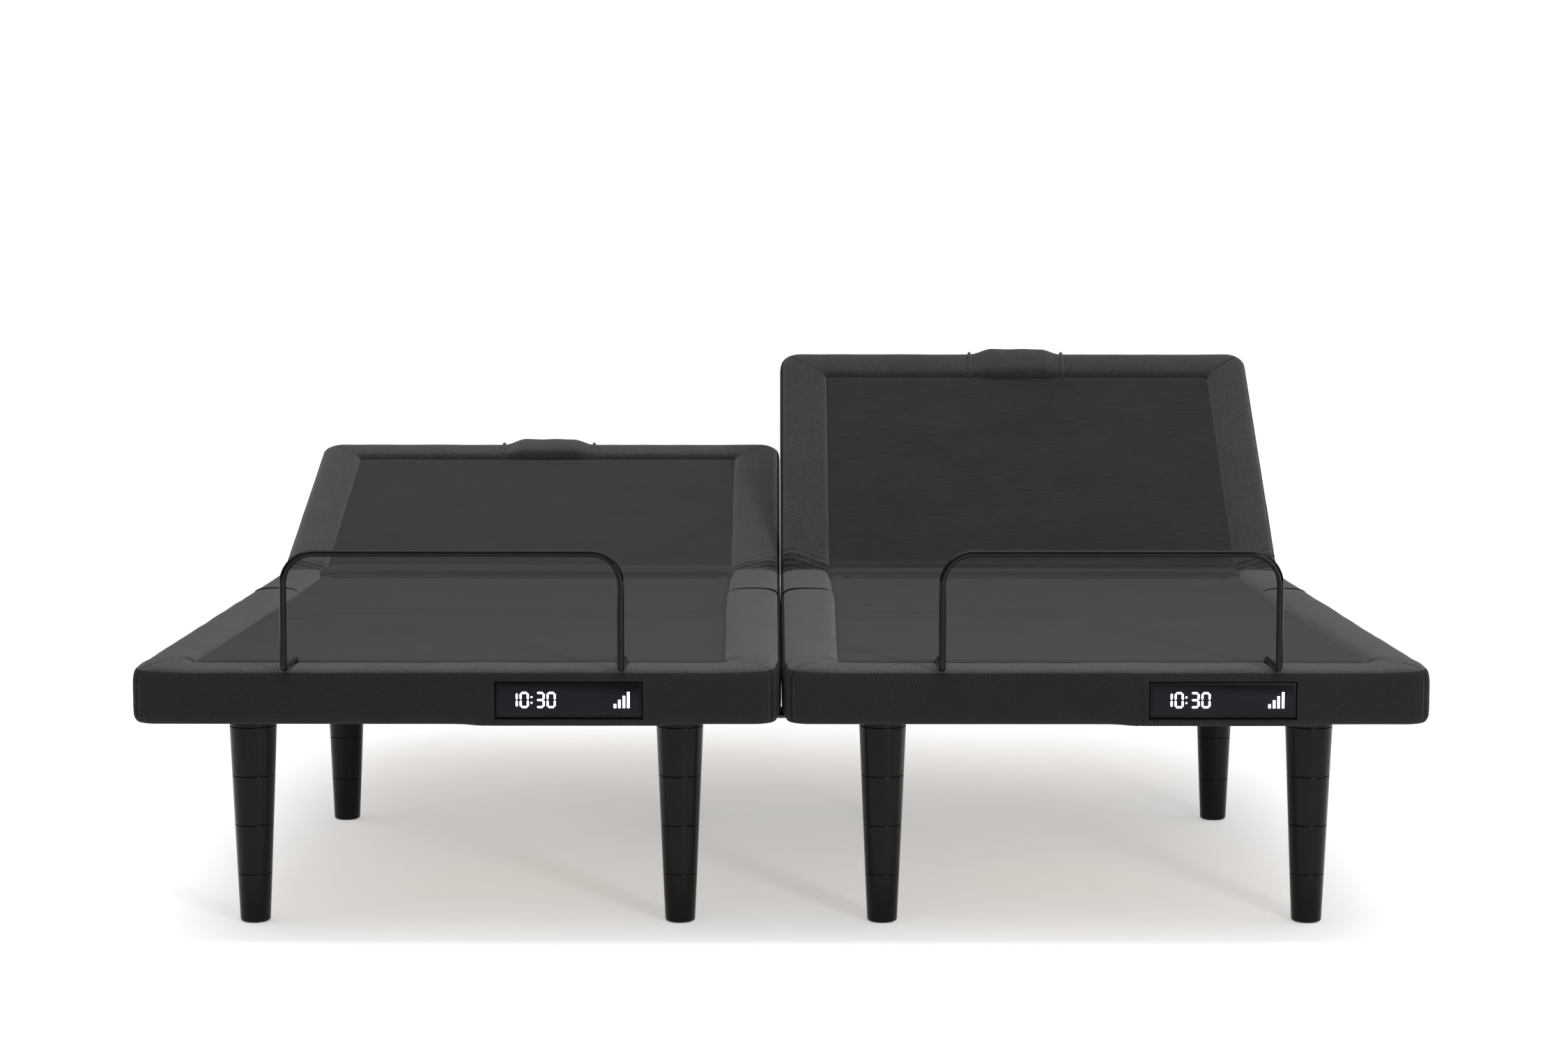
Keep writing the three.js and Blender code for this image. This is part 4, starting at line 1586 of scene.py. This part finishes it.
LIT = {
    0: (Segment.TOP, Segment.UPPER_LEFT, Segment.UPPER_RIGHT, Segment.LOWER_LEFT, Segment.LOWER_RIGHT,
        Segment.BOTTOM),
    1: (Segment.UPPER_RIGHT, Segment.LOWER_RIGHT),
    3: (Segment.TOP, Segment.UPPER_RIGHT, Segment.MIDDLE, Segment.LOWER_RIGHT, Segment.BOTTOM),
}


@dataclass
class Display:
    """The clock in the foot face: a gloss case, a sunken window and lit marks."""

    half: Half
    digits: tuple[int, ...] = (1, 0, 3, 0)
    digit_width: float = 0.0105
    digit_height: float = 0.021
    stroke: float = 0.0030
    rim: float = 0.004
    bars: int = 4

    def build(self) -> None:
        """Builds the case, the window and the lit marks over the plain display."""
        half = self.half
        low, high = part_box(half.body("display"))
        middle = (low + high) / 2
        size = high - low
        axes = (Vector((1, 0, 0)), Vector((0, 0, 1)), Vector((0, -1, 0)))
        case = Shape()
        case.box(middle, axes, (size.x / 2, size.z / 2, size.y / 2), 0.0016)
        body = case.make(half.body("display_case"), [Finish.BEZEL.value.mix()])
        glass = Shape()
        front = Vector((middle.x, low.y - 0.0002, middle.z))
        glass.box(front, axes, (size.x / 2 - self.rim, size.z / 2 - self.rim, 0.0007), 0.0006)
        window = glass.make(half.body("display_window"), [Finish.GLASS.value.mix()])
        lit = Shape()
        face = low.y - 0.0010
        self.clock(lit, Vector((low.x + 0.022, face, middle.z - self.digit_height / 2)))
        self.level(lit, Vector((high.x - 0.040, face, middle.z - 0.012)))
        marks = lit.make(half.body("display_marks"), [Glow().light()])
        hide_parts(half.body("display"))
        for piece in (body, window, marks):
            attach(piece, half.body("foot_deck"))
            LOG.info("%s", piece.name)

    def clock(self, lit: Shape, corner: Vector) -> None:
        """Draws the digits from a lower left corner, with a colon in the middle.

        Args:
            lit: The shape that takes the marks.
            corner: The lower left corner.
        """
        step = self.digit_width * 1.55
        for place, digit in enumerate(self.digits):
            left = corner + Vector((step * place + (0.007 if place > 1 else 0), 0, 0))
            for segment in LIT[digit]:
                self.stroke_bar(lit, left, *segment.value)
        for height in (0.3, 0.7):
            dot = corner + Vector((2 * step - 0.0003, 0, self.digit_height * height))
            axes = (Vector((1, 0, 0)), Vector((0, 0, 1)), Vector((0, -1, 0)))
            lit.box(dot, axes, (0.0013, 0.0013, 0.0002), 0.00018)

    def stroke_bar(self, lit: Shape, left: Vector, start: tuple[int, int], end: tuple[int, int]) -> None:
        """One stroke of a digit, with pointed ends.

        Args:
            lit: The shape that takes the marks.
            left: The digit's lower left corner.
            start: Where the stroke starts on the grid.
            end: Where it ends.
        """
        scale = Vector((self.digit_width, 0, self.digit_height / 2))
        a = left + Vector((start[0] * scale.x, 0, start[1] * scale.z))
        b = left + Vector((end[0] * scale.x, 0, end[1] * scale.z))
        way = (b - a).normalized()
        across = Vector((-way.z, 0, way.x)) * self.stroke / 2
        trim = way * 0.0005
        ring = [
            a + trim,
            a + trim + way * self.stroke / 2 + across,
            b - trim - way * self.stroke / 2 + across,
            b - trim,
            b - trim - way * self.stroke / 2 - across,
            a + trim + way * self.stroke / 2 - across,
        ]
        lit.loft([ring, [p + Vector((0, -0.0003, 0)) for p in ring]])

    def level(self, lit: Shape, corner: Vector) -> None:
        """Draws rising level bars from a lower left corner.

        Args:
            lit: The shape that takes the marks.
            corner: The lower left corner.
        """
        axes = (Vector((1, 0, 0)), Vector((0, 0, 1)), Vector((0, -1, 0)))
        for bar in range(self.bars):
            tall = 0.006 * (bar + 1)
            lit.box(corner + Vector((0.0066 * bar, 0, tall / 2)), axes, (0.0019, tall / 2, 0.0002), 0.00018)


@dataclass
class LinearDrive:
    """An actuator and its push rod, drawn along the line from its rear pivot to its rod eye."""

    half: Half
    word: str
    lug: tuple[float, float]
    about: float
    barrel: float
    eye_hole: float
    rod_radius: float = 0.007

    def line(self) -> tuple[Vector, Vector, Vector]:
        """The rear pivot, the way to the rod eye, and the eye's centre, at rest.

        Returns:
            The pivot, the direction and the centre.
        """
        swing = self.half.joint(f"{self.word}_motor_swing")["pos_m"]
        slide = self.half.joint(f"{self.word}_rod_slide")["axis"]
        pivot = Vector(swing)
        low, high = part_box(self.half.body(f"{self.word}_actuator"))
        pivot.x = (low.x + high.x) / 2
        way = Vector(slide).normalized()
        place = self.half.raised if self.word == "head" else self.half.flat
        eye = place(pivot.x - self.half.middle, self.about + self.lug[0], self.half.axis + self.lug[1])
        return pivot, way, pivot + way * (eye - pivot).length

    def build(self) -> None:
        """Builds the case with its motor, and the rod with its eye."""
        half = self.half
        pivot, way, eye = self.line()
        across = Vector((1, 0, 0))
        up = across.cross(way)
        if up.z < 0:
            up = -up
        case = Shape()
        case.turned([(0.0066, -0.006), (0.0112, -0.006), (0.012, -0.005), (0.012, 0.005), (0.0112, 0.006),
                     (0.0066, 0.006)], pivot, across, 28)
        case.box(pivot + way * 0.0175, (way, up, across), (0.0125, 0.009, 0.006), 0.002)
        case.box(pivot + way * 0.052 - up * 0.025, (across, up, way), (0.027, 0.049, 0.028), 0.007, band=1)
        for dx, du in ((-0.020, 0.016), (0.020, 0.016), (-0.020, -0.066), (0.020, -0.066)):
            screw = pivot + way * 0.0802 + across * dx + up * du
            dome = [(0.0004, 0.0016), (0.0026, 0.0014), (0.0032, 0.0004), (0.0032, -0.001)]
            case.turned(dome, screw, way, 16, band=2)
        end = self.barrel
        barrel = [(0.0078, 0.079), (0.0168, 0.079), (0.0172, 0.083), (0.0150, 0.086), (0.0150, end - 0.016),
                  (0.0172, end - 0.014), (0.0180, end - 0.012), (0.0180, end - 0.003), (0.0165, end),
                  (0.0090, end), (0.0078, end - 0.002)]
        case.turned(barrel, pivot, way, 40)
        can = [(0.0005, 0.079), (0.0262, 0.079), (0.0262, 0.088), (0.0250, 0.090), (0.0250, 0.150),
               (0.0258, 0.152), (0.0258, 0.164), (0.0235, 0.169), (0.0120, 0.1705), (0.0110, 0.1735),
               (0.0005, 0.174)]
        case.turned(can, pivot - up * 0.047, way, 40)
        finishes = [Finish.MOTOR.value.mix(), Finish.PLASTIC.value.mix(), Finish.ZINC.value.mix()]
        body = case.make(half.body(f"{self.word}_drive_case"), finishes, sharp=40)
        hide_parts(half.body(f"{self.word}_actuator"))
        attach(body, half.body(f"{self.word}_motor"))
        rod = Shape()
        hole = self.eye_hole
        start = pivot + way * (end - 0.100)
        rod.tube([start, eye - way * (hole + 0.002)], self.rod_radius, sides=32)
        rod.turned([(hole, -0.006), (hole + 0.004, -0.006), (hole + 0.005, -0.005), (hole + 0.005, 0.005),
                    (hole + 0.004, 0.006), (hole, 0.006), (hole - 0.0004, 0.0)], eye, across, 40, band=1)
        shine = [Finish.CHROME.value.mix(), Finish.ZINC.value.mix()]
        push = rod.make(half.body(f"{self.word}_push_rod"), shine, 40)
        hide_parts(half.body(f"{self.word}_actuator_rod"))
        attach(push, half.body(f"{self.word}_rod"))
        LOG.info("%s and %s", body.name, push.name)


@dataclass
class FrameDressing:
    """Finishes, softened edges and small fittings for the frame's own solids."""

    half: Half
    edge: float = 0.0008

    def coat(self, node: str, finish: bpy.types.Material, crisp: float = 50) -> None:
        """Gives a solid of the frame its finish and a small rounding along its edges.

        Args:
            node: The solid's name.
            finish: Its material.
            crisp: Edges steeper than this many degrees are rounded.
        """
        thing = frame["nodes"][node]
        thing.data.materials.clear()
        thing.data.materials.append(finish)
        thing.data.polygons.foreach_set("use_smooth", [True] * len(thing.data.polygons))
        thing.data.set_sharp_from_angle(angle=math.radians(32))
        bevel = thing.modifiers.new("edge_rounding", "BEVEL")
        bevel.width = self.edge
        bevel.segments = 2
        bevel.limit_method = "ANGLE"
        bevel.angle_limit = math.radians(crisp)

    def bolts(self) -> None:
        """Hex bolts that hold the cross bars to the side rails, on the rails' outer faces."""
        half = self.half
        shape = Shape()
        for word in ("outer", "inner"):
            low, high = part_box(half.body(f"{word}_rail"))
            out = 1 if (low.x + high.x) / 2 > half.middle else -1
            face = high.x if out > 0 else low.x
            for bar in ("foot_crossbar", "middle_crossbar", "head_crossbar"):
                bar_low, bar_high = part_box(half.body(bar))
                z = bar_high.z - 0.0125
                y = (bar_low.y + bar_high.y) / 2 if bar == "foot_crossbar" else self.bar_middle(bar)
                for dy in (-0.008, 0.008):
                    seat = Vector((face, y + dy, z))
                    shape.turned([(0.0035, 0), (0.0072, 0), (0.0072, 0.0012), (0.0035, 0.0012)], seat,
                                 Vector((out, 0, 0)), 24)
                    shape.turned([(0.0005, 0.0012), (0.0056, 0.0012), (0.0056, 0.0044), (0.0050, 0.0052),
                                  (0.0005, 0.0052)], seat, Vector((out, 0, 0)), 6)
        piece = shape.make(half.body("frame_bolts"), [Finish.ZINC.value.mix()], 30)
        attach(piece, "chassis")

    def bar_middle(self, bar: str) -> float:
        """The row y of a cross bar's tube, whose box also holds its fork."""
        plan = {"middle_crossbar": 0.930, "head_crossbar": 1.345}
        return self.half.face + plan[bar]

    def inlet(self) -> None:
        """The pins and the lid screws of the control box."""
        half = self.half
        low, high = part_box(half.body("control_box"))
        shape = Shape()
        axes = (Vector((1, 0, 0)), Vector((0, 0, 1)), Vector((0, -1, 0)))
        for dx, dz in ((-0.007, -0.002), (0.007, -0.002), (0, 0.003)):
            pin = Vector(((low.x + high.x) / 2 + dx, low.y + 0.010, low.z + 0.026 + dz))
            shape.box(pin, axes, (0.0011, 0.0022, 0.0048), 0.0004)
        pins = shape.make(half.body("inlet_contacts"), [Finish.BRASS.value.mix()])
        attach(pins, "chassis")
        shape = Shape()
        for x in (low.x + 0.010, high.x - 0.010):
            for y in (low.y + 0.012, high.y - 0.012):
                shape.turned([(0.0005, 0.0012), (0.0030, 0.0010), (0.0036, 0), (0.0036, -0.001)],
                             Vector((x, y, low.z)), Vector((0, 0, -1)), 20)
        screws = shape.make(half.body("control_box_screws"), [Finish.ZINC.value.mix()])
        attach(screws, "chassis")

    def dress(self) -> None:
        """Coats every solid of the frame that stays in view."""
        half = self.half
        steel = Finish.STEEL.value.mix()
        zinc = Finish.ZINC.value.mix()
        wood = Plywood()
        flat_wood = wood.cut(0.0)
        for node in ("outer_rail", "inner_rail", "foot_crossbar", "middle_crossbar", "head_crossbar",
                     "head_lift_bracket", "thigh_lift_bracket", "foot_link_bracket"):
            self.coat(half.body(node), steel)
        self.coat(half.body("foot_link"), zinc)
        self.coat(half.body("control_box"), Finish.PLASTIC.value.mix())
        for node in ("seat_board", "thigh_board", "foot_board"):
            self.coat(half.body(node), flat_wood)
        self.coat(half.body("head_board"), wood.cut(half.rise))
        self.bolts()
        self.inlet()


# ---- studio --------------------------------------------------------------------------------------


@dataclass
class Studio:
    """A pale floor, soft light from above and in front, and the camera at the foot end."""

    lens: float = 72.3
    sensor: float = 36.0
    eye: tuple[float, float, float] = (-0.0094, -5.601, 1.018)
    pitch: float = 85.2
    yaw: float = -0.155
    roll: float = -0.05
    floor_radius: float = 40.0
    floor_glow: float = 0.42
    dome_low: float = 0.10
    dome_high: float = 1.35

    def camera(self) -> None:
        """Sets the camera up and makes it the scene's own."""
        data = bpy.data.cameras.new("studio_camera")
        data.lens = self.lens
        data.sensor_width = self.sensor
        data.clip_end = 200
        camera = bpy.data.objects.new("studio_camera", data)
        bpy.context.scene.collection.objects.link(camera)
        camera.location = self.eye
        camera.rotation_euler = [math.radians(a) for a in (self.pitch, self.roll, self.yaw)]
        bpy.context.scene.camera = camera

    def floor(self) -> None:
        """A wide pale floor with a faint powdery variation."""
        nodes = Nodes("studio_floor")
        patch = nodes.cloud(nodes.place(), 3.0, 4.0)
        nodes.surface(
            Base_Color=nodes.tones(patch, (0.3, (0.93, 0.93, 0.93)), (0.7, (0.95, 0.95, 0.95))),
            Roughness=nodes.spans(patch, 0.85, 0.95),
            Specular_IOR_Level=0.1,
            Emission_Color=(1, 1, 1, 1),
            Emission_Strength=self.floor_glow,
        )
        shape = Shape()
        shape.turned([(self.floor_radius, 0.0), (self.floor_radius, -0.05)], Vector((0, 0, -0.0004)),
                     Vector((0, 0, 1)), 96)
        shape.make("studio_floor", [nodes.material])

    def lamp(self, name: str, place: tuple[float, float, float], aim: tuple[float, float, float],
             size: tuple[float, float], power: float) -> None:
        """A soft panel light.

        Args:
            name: Its name.
            place: Where it hangs.
            aim: The point it faces.
            size: Its width and height.
            power: Its power in watts.
        """
        data = bpy.data.lights.new(name, "AREA")
        data.shape = "RECTANGLE"
        data.size, data.size_y = size
        data.energy = power
        light = bpy.data.objects.new(name, data)
        bpy.context.scene.collection.objects.link(light)
        light.location = place
        light.rotation_euler = (Vector(place) - Vector(aim)).to_track_quat("Z", "Y").to_euler()

    def world(self) -> None:
        """White surroundings to look at, and a dimmer dome to light with."""
        world = bpy.data.worlds.new("studio_world")
        bpy.context.scene.world = world
        world.use_nodes = True
        tree = world.node_tree
        tree.nodes.clear()
        output = tree.nodes.new("ShaderNodeOutputWorld")
        blend = tree.nodes.new("ShaderNodeMixShader")
        path = tree.nodes.new("ShaderNodeLightPath")
        dome = tree.nodes.new("ShaderNodeBackground")
        seen = tree.nodes.new("ShaderNodeBackground")
        dome.inputs["Color"].default_value = (0.975, 0.99, 1.0, 1)
        direction = tree.nodes.new("ShaderNodeTexCoord")
        split = tree.nodes.new("ShaderNodeSeparateXYZ")
        tree.links.new(direction.outputs["Generated"], split.inputs[0])
        rise = tree.nodes.new("ShaderNodeMath")
        rise.operation = "MULTIPLY"
        lifted = self.step(tree, "MAXIMUM", split.outputs["Z"], 0.0)
        tree.links.new(lifted, rise.inputs[0])
        tree.links.new(lifted, rise.inputs[1])
        scaled = self.step(tree, "MULTIPLY", rise.outputs[0], self.dome_high)
        tree.links.new(self.step(tree, "ADD", scaled, self.dome_low), dome.inputs["Strength"])
        seen.inputs["Strength"].default_value = 1.0
        seen.inputs["Color"].default_value = (1, 1, 1, 1)
        tree.links.new(path.outputs["Is Camera Ray"], blend.inputs["Fac"])
        tree.links.new(dome.outputs[0], blend.inputs[1])
        tree.links.new(seen.outputs[0], blend.inputs[2])
        tree.links.new(blend.outputs[0], output.inputs["Surface"])

    @staticmethod
    def step(
        tree: bpy.types.NodeTree,
        operation: str,
        value: bpy.types.NodeSocket,
        by: float,
    ) -> bpy.types.NodeSocket:
        """One step of arithmetic in the surroundings' nodes.

        Args:
            tree: The surroundings' nodes.
            operation: The node's operation.
            value: The first number.
            by: The second number.

        Returns:
            The result.
        """
        node = tree.nodes.new("ShaderNodeMath")
        node.operation = operation
        tree.links.new(value, node.inputs[0])
        node.inputs[1].default_value = by
        return node.outputs[0]

    def build(self) -> None:
        """Builds the studio."""
        self.camera()
        self.floor()
        self.world()
        self.lamp("overhead_strip", (0, -1.1, 3.2), (0, -0.4, 0.4), (4.6, 0.6), 48)
        self.lamp("front_strip", (2.1, -4.9, 1.2), (0, -0.9, 0.3), (0.6, 2.2), 64)
        bpy.context.scene.view_settings.view_transform = "Standard"
        LOG.info("studio ready")


# ---- the whole bed -------------------------------------------------------------------------------


def coat_tie_plates() -> None:
    """Finishes the two plates that tie the halves' legs together."""
    half = Half.read("left", -1)
    dressing = FrameDressing(half)
    for node in ("foot_tie_plate", "head_tie_plate"):
        dressing.coat(node, Finish.STEEL.value.mix())


def main() -> None:
    """Builds the pair round the frame, then lights it."""
    logging.basicConfig(level=logging.INFO, format="%(name)s: %(message)s")
    for name, outward in (("left", -1), ("right", 1)):
        half = Half.read(name, outward)
        Upholsterer(half).dress()
        finish = Finish.LEG.value.mix()
        for end in ("foot", "head"):
            for word in ("outer", "inner"):
                StackedLeg(half.body(f"{end}_{word}_leg")).build(finish)
        RetainerBar(half).build()
        Display(half).build()
        LinearDrive(half, "head", (0.0, -0.090), half.head, barrel=0.400, eye_hole=0.0123).build()
        LinearDrive(half, "leg", (-0.020, -0.090), half.thigh, barrel=0.262, eye_hole=0.0086).build()
        FrameDressing(half).dress()
    coat_tie_plates()
    Studio().build()


if __name__ == "__main__":
    main()
